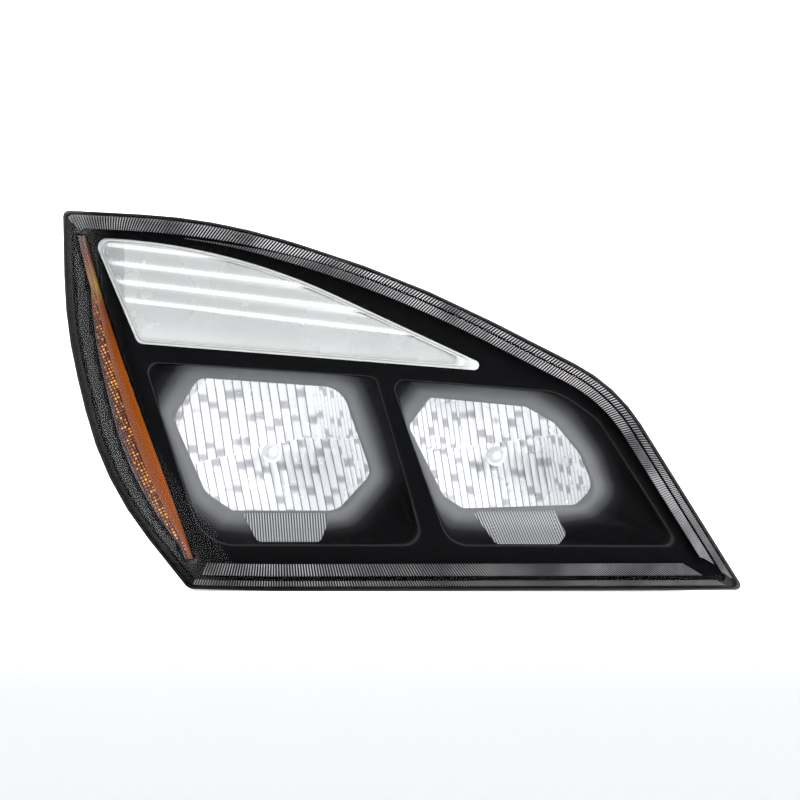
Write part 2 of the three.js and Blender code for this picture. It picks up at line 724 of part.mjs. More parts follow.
// A beam reflector: bulb neck, paraboloid and forward wall in one turned-out skin of one thickness.
function beamReflector(window, beam) {
  const angles = evenAngles(BOWL_SIDES);
  const mouth = rayRing(outlineAt(window, -BOWL_MARGIN), beam, angles);
  const outer = rayRing(outlineAt(window, -BOWL_MARGIN - BOWL_WALL), beam, angles);
  const bore = circleRing(beam, BULB_HOLE, angles);
  const neck = circleRing(beam, BULB_HOLE + 4, angles);
  const mouthDepth = (x, z) => trimFace(x, z) + FUNNEL_DEPTH + MOUTH_GAP;
  const depth = (x, z) => {
    const bowl = beam.vertex - ((x - beam.x) ** 2 + (z - beam.z) ** 2) / (4 * BEAM_FOCUS);
    return Math.max(bowl, mouthDepth(x, z) + BOWL_LIP);
  };
  const between = (a, b, share) => a.map((p, i) => p.clone().lerp(b[i], share));
  const inside = BOWL_SHARES.map((s) => ringAt(between(bore, mouth, s), depth));
  const behind = (x, z) => depth(x, z) + BOWL_REAR;
  const outside = BOWL_SHARES.map((s) => ringAt(between(neck, outer, s), behind));
  const shell = ringSolid(
    [
      ...inside,
      ringAt(mouth, mouthDepth),
      ringAt(outer, mouthDepth),
      ...outside.reverse(),
      ringAt(neck, beam.vertex + 10),
      ringAt(bore, beam.vertex + 10),
    ],
    true,
  );
  const screws = EAR_ANGLES.map((angle) => earPoint(beam, angle));
  const bosses = screws.map((p) => rod(5, beam.plate - 8, beam.plate - GAP, p, 8));
  const holes = screws.map((p) => rod(2.3, beam.plate - 6, beam.plate + 1, p, 8));
  return cut(join(shell, ...bosses), ...holes);
}

const earPoint = (beam, degrees) => {
  const angle = (degrees * Math.PI) / 180;
  return { x: beam.x + EAR_RADIUS * Math.cos(angle), z: beam.z + EAR_RADIUS * Math.sin(angle) };
};

// The carrier is two plates at different depths with a web between them, and round holes for the bowls
// and ball sockets.
function reflectorCarrier() {
  const lowPlate = prism(outlineAt(CARRIER_LOW), LOW.plate, LOW.plate + PLATE);
  const highPlate = prism(outlineAt(CARRIER_HIGH), HIGH.plate, HIGH.plate + PLATE);
  const web = block(-22, -18, HIGH.plate, LOW.plate + PLATE, -128, 6);
  const holes = [
    rod(CARRIER_HOLE, 160, 190, LOW, BIG_ROUND),
    rod(CARRIER_HOLE, 120, 150, HIGH, BIG_ROUND),
    rod(SOCKET_WALL + GAP, 160, 190, PIVOT_LEFT, 16),
    rod(SOCKET_WALL + GAP, 130, 150, PIVOT_RIGHT, 16),
    rod(SOCKET_WALL + GAP, 160, 190, AIM, 16),
    ...EAR_ANGLES.map((a) => rod(2.4, 160, 190, earPoint(LOW, a), 8)),
    ...EAR_ANGLES.map((a) => rod(2.4, 130, 150, earPoint(HIGH, a), 8)),
  ];
  return cut(join(lowPlate, highPlate, web), ...holes);
}

// A ball socket: a cup closed at the front, open at the rear, with a flange that seats behind the carrier.
function ballSocket(centre, flange) {
  const rear = Math.max(flange + 3, AXIS_Y + 5);
  const cup = BALL + 0.6;
  const arc = [0, 1 / 3, 2 / 3].map((share) => {
    const angle = (share * Math.PI) / 2;
    return [cup * Math.cos(angle), AXIS_Y - cup * Math.sin(angle)];
  });
  const profile = [
    [0, AXIS_Y - cup - 2.6],
    [SOCKET_WALL, AXIS_Y - cup - 2.6],
    [SOCKET_WALL, flange],
    [SOCKET_WALL + 3, flange],
    [SOCKET_WALL + 3, flange + 2],
    [SOCKET_WALL, flange + 2],
    [SOCKET_WALL, rear],
    [SOCKET_BORE, rear],
    [SOCKET_BORE, AXIS_Y],
    ...arc,
    [0, AXIS_Y - cup],
  ];
  return turned(profile, centre, 12);
}

// Half-circle points of a ball on a Y axis, from its front pole to where a neck of the given radius
// leaves it.
function ballProfile(y, radius, neck) {
  const end = Math.PI - Math.asin(neck / radius);
  return Array.from({ length: 6 }, (_, k) => {
    const angle = (end * k) / 5;
    return [radius * Math.sin(angle), y - radius * Math.cos(angle)];
  });
}

const pivotStud = (pivot) =>
  turned([...ballProfile(AXIS_Y, BALL, 3), [3, pivot.post + 30], [0, pivot.post + 30]], pivot, 12);

// A pan-head screw along Y: its shank from front to seat, its head behind the seat.
const screw = (point, front, seat, shank, head, sides) =>
  turned(
    [[0, front], [shank, front], [shank, seat], [head, seat], [head * 0.8, seat + 2.6], [0, seat + 2.6]],
    point,
    sides,
  );

// ---------------------------------------------------------------------------------------------
// Aim adjuster
// ---------------------------------------------------------------------------------------------

const aimNut = () =>
  turned(
    [
      ...ballProfile(AXIS_Y, BALL, 3),
      [3, AXIS_Y + 36],
      [8, AXIS_Y + 39],
      [8, AXIS_Y + 62],
      [3.5, AXIS_Y + 62],
      [3.5, AXIS_Y + 44],
      [0, AXIS_Y + 42],
    ],
    AIM,
    14,
  );

function aimScrew() {
  const shank = turned(
    [[0, 200], [3, 200], [3, 268], [4, 268], [4, BACK_Y + 6], [0, BACK_Y + 6]],
    AIM,
    16,
  );
  const head = rod(8.5, BACK_Y + 5, BACK_Y + 16, AIM, 6);
  const slot = block(AIM.x - 6, AIM.x + 6, BACK_Y + 12, BACK_Y + 18, AIM.z - 0.8, AIM.z + 0.8);
  return cut(join(shank, head), slot);
}

const aimBushing = () =>
  turned(
    [
      [4.4, BACK_Y - 14],
      [6.2, BACK_Y - 14],
      [6.2, BACK_Y + 0.5],
      [9.6, BACK_Y + 0.5],
      [9.6, BACK_Y + 4],
      [4.4, BACK_Y + 4],
      [4.4, BACK_Y - 14],
    ],
    AIM,
    16,
  );

// ---------------------------------------------------------------------------------------------
// Bulbs, sockets and covers
// ---------------------------------------------------------------------------------------------

// A capsule bulb's base: plug in the reflector neck, flange behind it, then a rectangular connector shroud.
function capsuleBase(beam) {
  const y = beam.vertex;
  const body = turned(
    [
      [0, y - 5],
      [9, y - 5],
      [14.6, y - 1],
      [14.6, y + 9],
      [12, y + 9],
      [12, y + 12.4],
      [20, y + 12.4],
      [20, y + 16],
      [0, y + 16],
    ],
    beam,
  );
  const shroud = block(beam.x - 12, beam.x + 12, y + 15, y + 38, beam.z - 9, beam.z + 9);
  const cavity = block(beam.x - 10, beam.x + 10, y + 22, y + 39, beam.z - 7, beam.z + 7);
  return cut(join(body, shroud), cavity);
}

const capsuleGlass = (beam) => {
  const y = beam.vertex;
  return turned(
    [
      [0, y - 50],
      [2, y - 49.6],
      [4.6, y - 47],
      [6, y - 43],
      [6, y - 10],
      [7.6, y - 8],
      [7.6, y - 5.4],
      [0, y - 5.4],
    ],
    beam,
    16,
  );
};

const capsuleSeal = (beam) => ringOf(15, 19, beam.vertex + 10.3, beam.vertex + 12.1, beam);

function accessCap(beam) {
  const skirt = ringOf(COLLAR_RADIUS + 3.6, COLLAR_RADIUS + 6.6, BACK_Y + 1, BACK_Y + 17, beam, BIG_ROUND);
  const disc = rod(COLLAR_RADIUS + 6.6, BACK_Y + 14, BACK_Y + 18, beam, BIG_ROUND);
  const catches = lugs(beam, COLLAR_RADIUS + 3.4, 16, BACK_Y + 1, BACK_Y + 5);
  const bore = rod(COLLAR_RADIUS + 0.6, BACK_Y, BACK_Y + 13, beam, BIG_ROUND);
  const grip = block(beam.x - 34, beam.x + 34, BACK_Y + 17, BACK_Y + 25, beam.z - 4, beam.z + 4);
  return join(cut(join(skirt, ...catches), bore), disc, grip);
}

const capSeal = (beam) =>
  ringOf(COLLAR_RADIUS - 4, COLLAR_RADIUS - 0.4, BACK_Y + 10.4, BACK_Y + 13.6, beam, BIG_ROUND);

// A twist-in bulb socket. Its lugs sit in front of the housing wall and pass through notches when it is
// turned.
function bulbSocket(centre, radius, length, wing) {
  const body = turned(
    [
      [0, BACK_Y - length],
      [radius, BACK_Y - length],
      [radius, BACK_Y + 7],
      [radius + 4.5, BACK_Y + 7],
      [radius + 4.5, BACK_Y + 10],
      [radius - 2, BACK_Y + 10],
      [radius - 3, BACK_Y + 22],
      [0, BACK_Y + 22],
    ],
    centre,
  );
  const grip = block(
    centre.x - wing, centre.x + wing, BACK_Y + 9, BACK_Y + 19, centre.z - 2, centre.z + 2,
  );
  const catches = lugs(centre, radius, 4.4, BACK_Y - 6.6, BACK_Y - WALL - GAP);
  return join(body, grip, ...catches);
}

const socketSeal = (centre, radius) => ringOf(radius + 0.4, radius + 4, BACK_Y + 4.4, BACK_Y + 6.6, centre);

const wedgeBulb = (centre, radius, front, back) =>
  turned(
    [
      [0, front],
      [radius * 0.55, front + radius * 0.2],
      [radius * 0.92, front + radius * 0.65],
      [radius, front + radius * 1.2],
      [radius, back - radius],
      [radius * 0.7, back],
      [0, back],
    ],
    centre,
    18,
  );

// ---------------------------------------------------------------------------------------------
// Inlet, breathers and mounting inserts
// ---------------------------------------------------------------------------------------------

function pinBlock([dx, dz], half, front, back) {
  const [x, z] = [INLET.x + dx, INLET.z + dz];
  return block(x - half, x + half, front, back, z - half, z + half);
}

const inletPin = (pin) => pinBlock(pin, 0.9, BACK_Y + 6.4, BACK_Y + 21);

function inletHeader() {
  const { x, z } = INLET;
  const flange = block(x - 32, x + 32, BACK_Y + 2.6, BACK_Y + 6, z - 16, z + 16);
  const shroud = block(x - 22, x + 22, BACK_Y + 5, BACK_Y + 26, z - 13, z + 13);
  const inner = block(x - 19, x + 19, BACK_Y - 10, BACK_Y + 4, z - 10, z + 10);
  const cavity = block(x - 20, x + 20, BACK_Y + 12, BACK_Y + 27, z - 11, z + 11);
  const screwHoles = INLET_SCREWS.map((dx) => rod(2.4, BACK_Y, BACK_Y + 10, { x: x + dx, z }, 10));
  const rails = [-6, 6].map((dx) => block(x + dx - 1, x + dx + 1, BACK_Y + 6, BACK_Y + 26, z + 12, z + 15));
  const pinHoles = INLET_PINS.map((pin) => pinBlock(pin, 1.4, BACK_Y + 6, BACK_Y + 14));
  return cut(join(flange, shroud, inner, ...rails), cavity, ...screwHoles, ...pinHoles);
}


function inletGasket() {
  const { x, z } = INLET;
  const outer = block(x - 30, x + 30, BACK_Y + 0.4, BACK_Y + 2.2, z - 15, z + 15);
  const screwHoles = INLET_SCREWS.map((dx) => rod(2.4, BACK_Y, BACK_Y + 4, { x: x + dx, z }, 10));
  return cut(outer, block(x - 20.5, x + 20.5, BACK_Y, BACK_Y + 4, z - 11.5, z + 11.5), ...screwHoles);
}

const inletScrew = (dx) => screw({ x: INLET.x + dx, z: INLET.z }, BACK_Y + 0.6, BACK_Y + 6.4, 2, 4.2, 12);

const breather = (centre) =>
  turned(
    [
      [0, BACK_Y - 8],
      [4.2, BACK_Y - 8],
      [4.2, BACK_Y + 0.6],
      [11, BACK_Y + 0.6],
      [11, BACK_Y + 8],
      [8.5, BACK_Y + 11],
      [0, BACK_Y + 11],
    ],
    centre,
  );

const mountInsert = (pad) => ringOf(INSERT_BORE, INSERT_RADIUS, PAD_Y - INSERT_LENGTH, PAD_Y - 0.3, pad, 16);

// ---------------------------------------------------------------------------------------------
// Assembly
// ---------------------------------------------------------------------------------------------

const paint = (color, roughness, metalness = 0, opacity = 1) =>
  new THREE.MeshStandardMaterial({ color, roughness, metalness, opacity, transparent: opacity < 1 });

const MATERIALS = {
  clear: paint(0xe8ecf0, 0.05, 0, 0.25),
  black: paint(0x0b0b0c, 0.35),
  housing: paint(0x1a1a1b, 0.6),
  chrome: paint(0xe6e6e8, 0.08, 1),
  amber: paint(0xb8480c, 0.2, 0, 0.85),
  amberGlass: paint(0xf08a1e, 0.08, 0, 0.6),
  glass: paint(0xf4f6f8, 0.03, 0, 0.35),
  rubber: paint(0x151515, 0.85),
  nylon: paint(0xd9d6cc, 0.5),
  grey: paint(0x55585c, 0.55),
  steel: paint(0x9a9da1, 0.35, 1),
  brass: paint(0xb3924a, 0.4, 1),
};

const lamp = new THREE.Group();

function place(name, material, geometry) {
  const mesh = new THREE.Mesh(geometry, MATERIALS[material]);
  mesh.name = name;
  lamp.add(mesh);
}

place("housing", "housing", housing());
place("lens_seal", "rubber", lensSeal());
place("outer_lens", "clear", outerLens());
place("bezel", "black", bezel());
place("turn_inner_lens", "clear", turnInnerLens());
place("turn_reflector", "chrome", turnReflector());
place("side_reflex_lens", "amber", sideLens());
place("marker_reflector", "chrome", markerReflector());

place("reflector_carrier", "grey", reflectorCarrier());
place("low_beam_reflector", "chrome", beamReflector(LOW_WINDOW, LOW));
place("high_beam_reflector", "chrome", beamReflector(HIGH_WINDOW, HIGH));
place("pivot_socket_outboard", "nylon", ballSocket(PIVOT_LEFT, LOW.plate + PLATE + GAP));
place("pivot_socket_inboard", "nylon", ballSocket(PIVOT_RIGHT, HIGH.plate + PLATE + GAP));
place("aim_socket", "nylon", ballSocket(AIM, LOW.plate + PLATE + GAP));
place("pivot_stud_outboard", "steel", pivotStud(PIVOT_LEFT));
place("pivot_stud_inboard", "steel", pivotStud(PIVOT_RIGHT));
place("aim_nut", "nylon", aimNut());
place("aim_screw", "steel", aimScrew());
place("aim_bushing", "nylon", aimBushing());

for (const [name, beam] of [["low_beam", LOW], ["high_beam", HIGH]]) {
  const seat = beam.plate + PLATE + GAP;
  EAR_ANGLES.forEach((angle, i) =>
    place(
      `${name}_reflector_screw_${i + 1}`,
      "steel",
      screw(earPoint(beam, angle), beam.plate - 5.5, seat, 1.9, 4, 8),
    ),
  );
  place(`${name}_bulb_base`, "grey", capsuleBase(beam));
  place(`${name}_bulb_glass`, "glass", capsuleGlass(beam));
  place(`${name}_bulb_seal`, "rubber", capsuleSeal(beam));
  place(`${name}_access_cap`, "rubber", accessCap(beam));
  place(`${name}_cap_seal`, "rubber", capSeal(beam));
}

place("turn_socket", "grey", bulbSocket(TURN, TURN_SOCKET_RADIUS, 14, 18));
place("turn_socket_seal", "rubber", socketSeal(TURN, TURN_SOCKET_RADIUS));
place("turn_bulb", "amberGlass", wedgeBulb(TURN, 12.5, BACK_Y - 72, BACK_Y - 14.4));
place("marker_socket", "grey", bulbSocket(MARKER, MARKER_SOCKET_RADIUS, 10, 12));
place("marker_socket_seal", "rubber", socketSeal(MARKER, MARKER_SOCKET_RADIUS));
place("marker_bulb", "glass", wedgeBulb(MARKER, 5, BACK_Y - 34, BACK_Y - 10.4));

place("inlet_header", "grey", inletHeader());
place("inlet_gasket", "rubber", inletGasket());
INLET_SCREWS.forEach((dx, i) => place(`inlet_screw_${i + 1}`, "steel", inletScrew(dx)));
INLET_PINS.forEach((pin, i) => place(`inlet_pin_${i + 1}`, "brass", inletPin(pin)));
BREATHERS.forEach((centre, i) => place(`breather_cap_${i + 1}`, "rubber", breather(centre)));
for (const [name, pad] of Object.entries(PADS)) {
  place(`mount_insert_${name}`, "brass", mountInsert(pad));
}

// The assembly is centred on its bounding box.
const middle = new THREE.Box3().setFromObject(lamp).getCenter(new THREE.Vector3());
lamp.position.sub(middle);

export default lamp;
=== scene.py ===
"""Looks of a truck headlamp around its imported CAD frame.

Shapes are worked out in millimetres, in the lamp's own axes: X inboard, Y to the rear, Z up, the lamp shining
towards -Y. to_row() turns them into the frame's metres.
"""
import json
import math

import bpy
import numpy as np
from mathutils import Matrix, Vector, geometry

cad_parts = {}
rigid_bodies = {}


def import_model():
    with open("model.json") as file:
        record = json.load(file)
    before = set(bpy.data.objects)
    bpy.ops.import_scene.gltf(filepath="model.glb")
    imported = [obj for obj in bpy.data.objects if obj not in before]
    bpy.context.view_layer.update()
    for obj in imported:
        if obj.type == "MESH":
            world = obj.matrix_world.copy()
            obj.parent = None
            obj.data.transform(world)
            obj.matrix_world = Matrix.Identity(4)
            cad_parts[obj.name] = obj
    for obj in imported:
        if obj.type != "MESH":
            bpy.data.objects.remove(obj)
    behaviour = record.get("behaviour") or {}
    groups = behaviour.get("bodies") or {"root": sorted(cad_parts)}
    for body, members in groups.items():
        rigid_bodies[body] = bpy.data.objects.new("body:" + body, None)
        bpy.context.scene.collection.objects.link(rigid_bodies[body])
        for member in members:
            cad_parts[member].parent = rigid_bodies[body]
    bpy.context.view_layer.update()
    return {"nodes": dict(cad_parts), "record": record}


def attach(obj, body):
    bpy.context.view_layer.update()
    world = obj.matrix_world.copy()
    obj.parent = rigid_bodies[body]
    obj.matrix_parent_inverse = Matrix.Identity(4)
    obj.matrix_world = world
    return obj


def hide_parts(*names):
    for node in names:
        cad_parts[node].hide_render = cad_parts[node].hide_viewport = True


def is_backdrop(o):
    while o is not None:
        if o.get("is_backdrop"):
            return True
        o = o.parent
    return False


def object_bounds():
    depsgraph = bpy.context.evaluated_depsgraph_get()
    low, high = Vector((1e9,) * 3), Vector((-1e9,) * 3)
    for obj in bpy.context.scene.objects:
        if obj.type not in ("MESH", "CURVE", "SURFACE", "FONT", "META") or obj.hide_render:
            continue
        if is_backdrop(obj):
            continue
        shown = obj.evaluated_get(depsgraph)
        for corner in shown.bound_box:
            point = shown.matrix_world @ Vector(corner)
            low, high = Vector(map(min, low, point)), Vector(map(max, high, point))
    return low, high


for leftover in list(bpy.data.objects):
    bpy.data.objects.remove(leftover)
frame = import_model()

# ---------------------------------------------------------------------------------------------
# Dimensions, in millimetres
# ---------------------------------------------------------------------------------------------

ORIGIN = np.array([-0.9034576, -153.9020486, 0.2993469])  # from the lamp's own axes to the frame's

LAMP = [(-349.7, 197.2, 6), (-192, 187.5, 640), (0, 130, 1200), (224, 15.5, 175), (355.4, -195.7, 5),
        (-130, -197.4, 60), (-218.4, -196.2, 12), (-308, -85, 340), (-347, 75, 480)]
TURN_WINDOW = [(-314, 165.8, 9), (-178.2, 158, 640), (94.8, 30.9, 5), (-268.8, 59.7, 10)]
LOW_WINDOW = [(-208, 22.7, 14), (-59.7, 12.4, 28), (-28.8, -76.2, 14), (-63.9, -114.3, 22),
              (-172, -114.3, 6), (-199.8, -95.8, 25), (-233.8, -18.5, 8)]
HIGH_WINDOW = [(31.8, 2.2, 4), (130.2, -7.1, 12), (159.6, -23.7, 15), (185.4, -54.9, 40), (200, -90, 16),
               (181.7, -108.2, 12), (65.9, -111.9, 8), (45.6, -98.9, 10), (9.8, -27.3, 8)]
LOW_POCKET = [(-264.7, 40.2, 10), (-22.7, 24.7, 10), (28.8, -151.4, 16), (-203, -151.4, 46)]
HIGH_POCKET = [(-10, 22.7, 10), (165, 9.3, 60), (206, -19.6, 60), (291.5, -152.4, 8), (50.5, -151.4, 30)]
LOW = {"x": -132, "z": -55, "vertex": 200}
HIGH = {"x": 100, "z": -58, "vertex": 165}
BEAM_FOCUS = 34
FUNNEL_DEPTH = 28
TIP_X, WIDTH, BOTTOM_Z, HEIGHT = 355, 705, -197, 394
FACE_SWEEP, FACE_RAKE = 95, 40
WRAP_WIDTH, WRAP_DEPTH, WRAP_POWER = 75, 95, 2.3
TRIM_GAP, TRIM_SIDE_GAP = 12, 7
WING_WIDTH, AMBER_LEAST = 28, 10
AMBER_TOP, AMBER_BOTTOM, AMBER_BOW = (-324.5, 172), (-211.5, -166), -36
LENS_RIM = [(3.4, 9), (5, 5), (13, 2.5), (14.5, 0)]  # inset from the outline, drop behind the lens face
LENS_INSETS = [3.4, 4.2, 5, 7, 10, 13, 14.5, 18, 24, 31, 40, 52]
LENS_SHARES = [0.15, 0.32, 0.5, 0.7, 0.88]  # of the way from the innermost inset to the lens's middle
LENS_WALL, FLUTE_WALL, BEZEL_WALL, RIB_WALL, TURN_WALL, AMBER_WALL = 2.4, 0.5, 2.2, 0.3, 1.2, 1.6
SKIRT = 12
FLUTE_RISE, FLUTE_HEIGHT = 0.25, 0.45

FUNNEL_SHARES = [0, 0.015, 0.03, 0.05, 0.075, 0.1, 0.14, 0.19, 0.25, 0.32, 0.4, 0.5, 0.6, 0.7, 0.8, 0.9, 1.0]
LOW_PATCH = [(-161.7, -117, 2), (-75.2, -117, 2), (-74.2, -128.8, 4), (-81.4, -146.3, 6), (-146.3, -146.3, 8)]
HIGH_PATCH = [(75.2, -115.4, 2), (159.7, -113.8, 2), (172, -138, 5), (164.8, -148.3, 5), (99.9, -148.3, 8)]
RIB_PITCH = 2.75

# A beam optic's flutes change at a seam, given as (x, z). Each zone is (above the seam, from x, to x, pitch,
# slant, step).
LOW_SEAM = [(-240, -72), (-208, -65), (-96, -39), (-50, -40), (0, -42)]
LOW_ZONES = [(True, -400, -88, 9.2, 0.14, 0.3), (True, -88, 400, 3.5, 0.14, 0.25),
             (False, -400, -70, 8.4, 0.2, 0.1), (False, -70, 400, 5.0, 0.2, 0.2)]
HIGH_SEAM = [(0, -52), (60, -50), (210, -30)]
HIGH_ZONES = [(True, -400, 60, 5.2, 0.14, 0.2), (True, 60, 400, 8.2, 0.14, 0.3),
              (False, -400, 140, 7.0, 0.16, 0.2), (False, 140, 500, 3.6, 0.16, 0.2)]
OPTIC_LIFT = 3.2  # the optic lies this far in front of the bowl's vertex
OPTIC_MARGIN, OPTIC_GAP = 6.5, 2.8  # past the window's edge, and least distance behind the funnel
BULB_HOLE = 8.4
COLLAR = [(6.5, -4.6), (6.8, -5.4), (8.0, -5.7), (9.4, -5.6), (10.4, -4.8)]  # radius, depth from the vertex

BAR_PITCH, BAR_FALL, BARS_FROM = 18.5, 0.12, 98 / 18.5  # the turn optic's bars, and the lowest one
TURN_RIM = [(-1.9, 0.2), (-1.5, -1.4), (-0.5, -1.9), (0.3, -1.2),
            (0.8, 0.6), (1.3, -0.6), (2.2, -0.9), (2.8, 1.9)]  # inset from the window, depth behind the trim
TURN_SET_BACK = 3.2  # the turn optic lies this far behind the trim, less its bars
LOW_BAND_HEIGHT, BAR_HEIGHT, PILLOW_HEIGHT, PILLOW_PITCH = 1.2, 2.0, 0.5, 4.2
AMBER_BAND_END, PRISMS_START = 0.52, 0.54  # shares of the amber lens's width, from its inboard edge
PRISM_PITCH, PRISM_HEIGHT, PRISM_TURN = 3.4, 1.1, (0.9, 0.42)
TRIM_SPAN_X, TRIM_SPAN_Z, TRIM_GRID = (-352, 360), (-196, 200), 5.0


def to_row(points):
    return (np.asarray(points, float) + ORIGIN) / 1000


# ---------------------------------------------------------------------------------------------
# Outlines and surfaces
# ---------------------------------------------------------------------------------------------


def rounded(corners, inset=0.0, step=4.0, arc_step=5.0):
    """A rounded outline, moved inwards. Points match between insets."""
    pts = np.array([c[:2] for c in corners], float)
    radii = [c[2] for c in corners]
    along = np.roll(pts, -1, 0) - pts
    along /= np.linalg.norm(along, axis=1)[:, None]
    inward = np.stack([along[:, 1], -along[:, 0]], 1)

    def tangents(at):
        base = pts + inward * at
        found = []
        for i, radius in enumerate(radii):
            before, after = along[i - 1], along[i]
            offset = base[i] - base[i - 1]
            cross = before[0] * after[1] - before[1] * after[0]
            corner = base[i - 1] + before * (offset[0] * after[1] - offset[1] * after[0]) / cross
            turn = math.acos(max(-1, min(1, before @ after)))
            arc = radius - at if radius > 20 else radius * (1 - at / 100)
            reach = arc * math.tan(turn / 2)
            start = corner - before * reach
            centre = start + np.array([before[1], -before[0]]) * arc
            found.append((start, centre, turn, corner + after * reach, arc))
        return found

    plain, moved = tangents(0), tangents(inset)
    ring = []
    for i, (start, centre, turn, end, _) in enumerate(moved):
        steps = max(2, math.ceil(math.degrees(turn) / arc_step), math.ceil(plain[i][4] * turn / step))
        for k in range(steps):
            angle = -turn * k / steps
            c, s = math.cos(angle), math.sin(angle)
            d = start - centre
            ring.append(centre + np.array([c * d[0] - s * d[1], s * d[0] + c * d[1]]))
        follow = (i + 1) % len(moved)
        edge = max(1, math.ceil(np.linalg.norm(plain[follow][0] - plain[i][3]) / step))
        ring += [end + (moved[follow][0] - end) * k / edge for k in range(edge)]
    return np.array(ring)


def ray_reach(outline, centre, angles):
    """How far rays from the centre run to the outline."""
    a = outline - np.array([centre["x"], centre["z"]])
    e = np.roll(a, -1, 0) - a
    ray = np.stack([np.cos(angles), np.sin(angles)], -1)[..., None, :]
    across = ray[..., 0] * e[:, 1] - ray[..., 1] * e[:, 0]
    across = np.where(np.abs(across) < 1e-9, 1e-9, across)
    share = (a[:, 0] * ray[..., 1] - a[:, 1] * ray[..., 0]) / across
    distance = (a[:, 0] * e[:, 1] - a[:, 1] * e[:, 0]) / across
    return np.where((share > -1e-6) & (share < 1 + 1e-6), distance, 0).max(-1)


def inside(outline, points):
    x, z = points[:, 0][:, None], points[:, 1][:, None]
    a, b = outline, np.roll(outline, -1, 0)
    crosses = (a[:, 1] > z) != (b[:, 1] > z)
    with np.errstate(divide="ignore", invalid="ignore"):
        at = a[:, 0] + (z - a[:, 1]) * (b[:, 0] - a[:, 0]) / (b[:, 1] - a[:, 1])
    return (crosses & (x < at)).sum(1) % 2 == 1


def edge_table(outline, pick):
    """A function of z that gives the outline's outermost x on one side."""
    zs = np.linspace(outline[:, 1].min() + 1, outline[:, 1].max() - 4, 500)
    xs = []
    for z in zs:
        a, b = outline, np.roll(outline, -1, 0)
        hit = (a[:, 1] - z) * (b[:, 1] - z) <= 0
        hit &= a[:, 1] != b[:, 1]
        at = a[hit, 0] + (z - a[hit, 1]) * (b[hit, 0] - a[hit, 0]) / (b[hit, 1] - a[hit, 1])
        xs.append(pick(at))
    return lambda z: np.interp(z, zs, xs)


left_edge = edge_table(rounded(LAMP), min)


def face(x, z):
    return FACE_SWEEP * ((TIP_X - x) / WIDTH) ** 2 + FACE_RAKE * (z - BOTTOM_Z) / HEIGHT


def lens_face(x, z):
    share = np.clip(1 - (x - left_edge(z)) / WRAP_WIDTH, 0, 1)
    return face(x, z) + WRAP_DEPTH * share**WRAP_POWER


def trim_face(x, z):
    return np.maximum(face(x, z) + TRIM_GAP, lens_face(x - TRIM_SIDE_GAP, z) + TRIM_SIDE_GAP)


def amber_edge(z):
    share = (z - AMBER_BOTTOM[1]) / (AMBER_TOP[1] - AMBER_BOTTOM[1])
    return AMBER_BOTTOM[0] + (AMBER_TOP[0] - AMBER_BOTTOM[0]) * share + AMBER_BOW * share**2 * (1 - share)


def wing_edge(z):
    return np.minimum(left_edge(z) + WING_WIDTH, amber_edge(z) - AMBER_LEAST)


def smoothstep(low, high, x):
    t = np.clip((x - low) / (high - low), 0, 1)
    return t * t * (3 - 2 * t)


# ---------------------------------------------------------------------------------------------
# Meshes
# ---------------------------------------------------------------------------------------------


def piece(name, points, faces, material, body="lamp_body", slot=None, angle=35, **values):
    """A mesh object from millimetre points. Extra values become point attributes for its material."""
    mesh = bpy.data.meshes.new(name)
    mesh.from_pydata(to_row(points).tolist(), [], [tuple(int(i) for i in f) for f in faces])
    for key, numbers in values.items():
        mesh.attributes.new(key, "FLOAT", "POINT").data.foreach_set("value", np.asarray(numbers, np.float32))
    mesh.update()
    mesh.validate()
    mesh.shade_smooth()
    mesh.set_sharp_from_angle(angle=math.radians(angle))
    mesh.materials.append(material)
    obj = bpy.data.objects.new(name, mesh)
    bpy.context.scene.collection.objects.link(obj)
    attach(obj, body)
    return obj


def grid_faces(rows, columns, close=False, flip=False, skip=None):
    """Quads of a grid of points, row by row."""
    faces = []
    for j in range(rows - 1):
        for i in range(columns if close else columns - 1):
            k = (i + 1) % columns
            quad = [j * columns + i, j * columns + k, (j + 1) * columns + k, (j + 1) * columns + i]
            if skip is None or not skip[quad].any():
                faces.append(quad[::-1] if flip else quad)
    return faces


def thicken(obj, thickness):
    """Gives a sheet its wall, towards the rear."""
    solid = obj.modifiers.new("wall", "SOLIDIFY")
    solid.thickness = thickness / 1000
    solid.offset = -1


# ---------------------------------------------------------------------------------------------
# Materials
# ---------------------------------------------------------------------------------------------


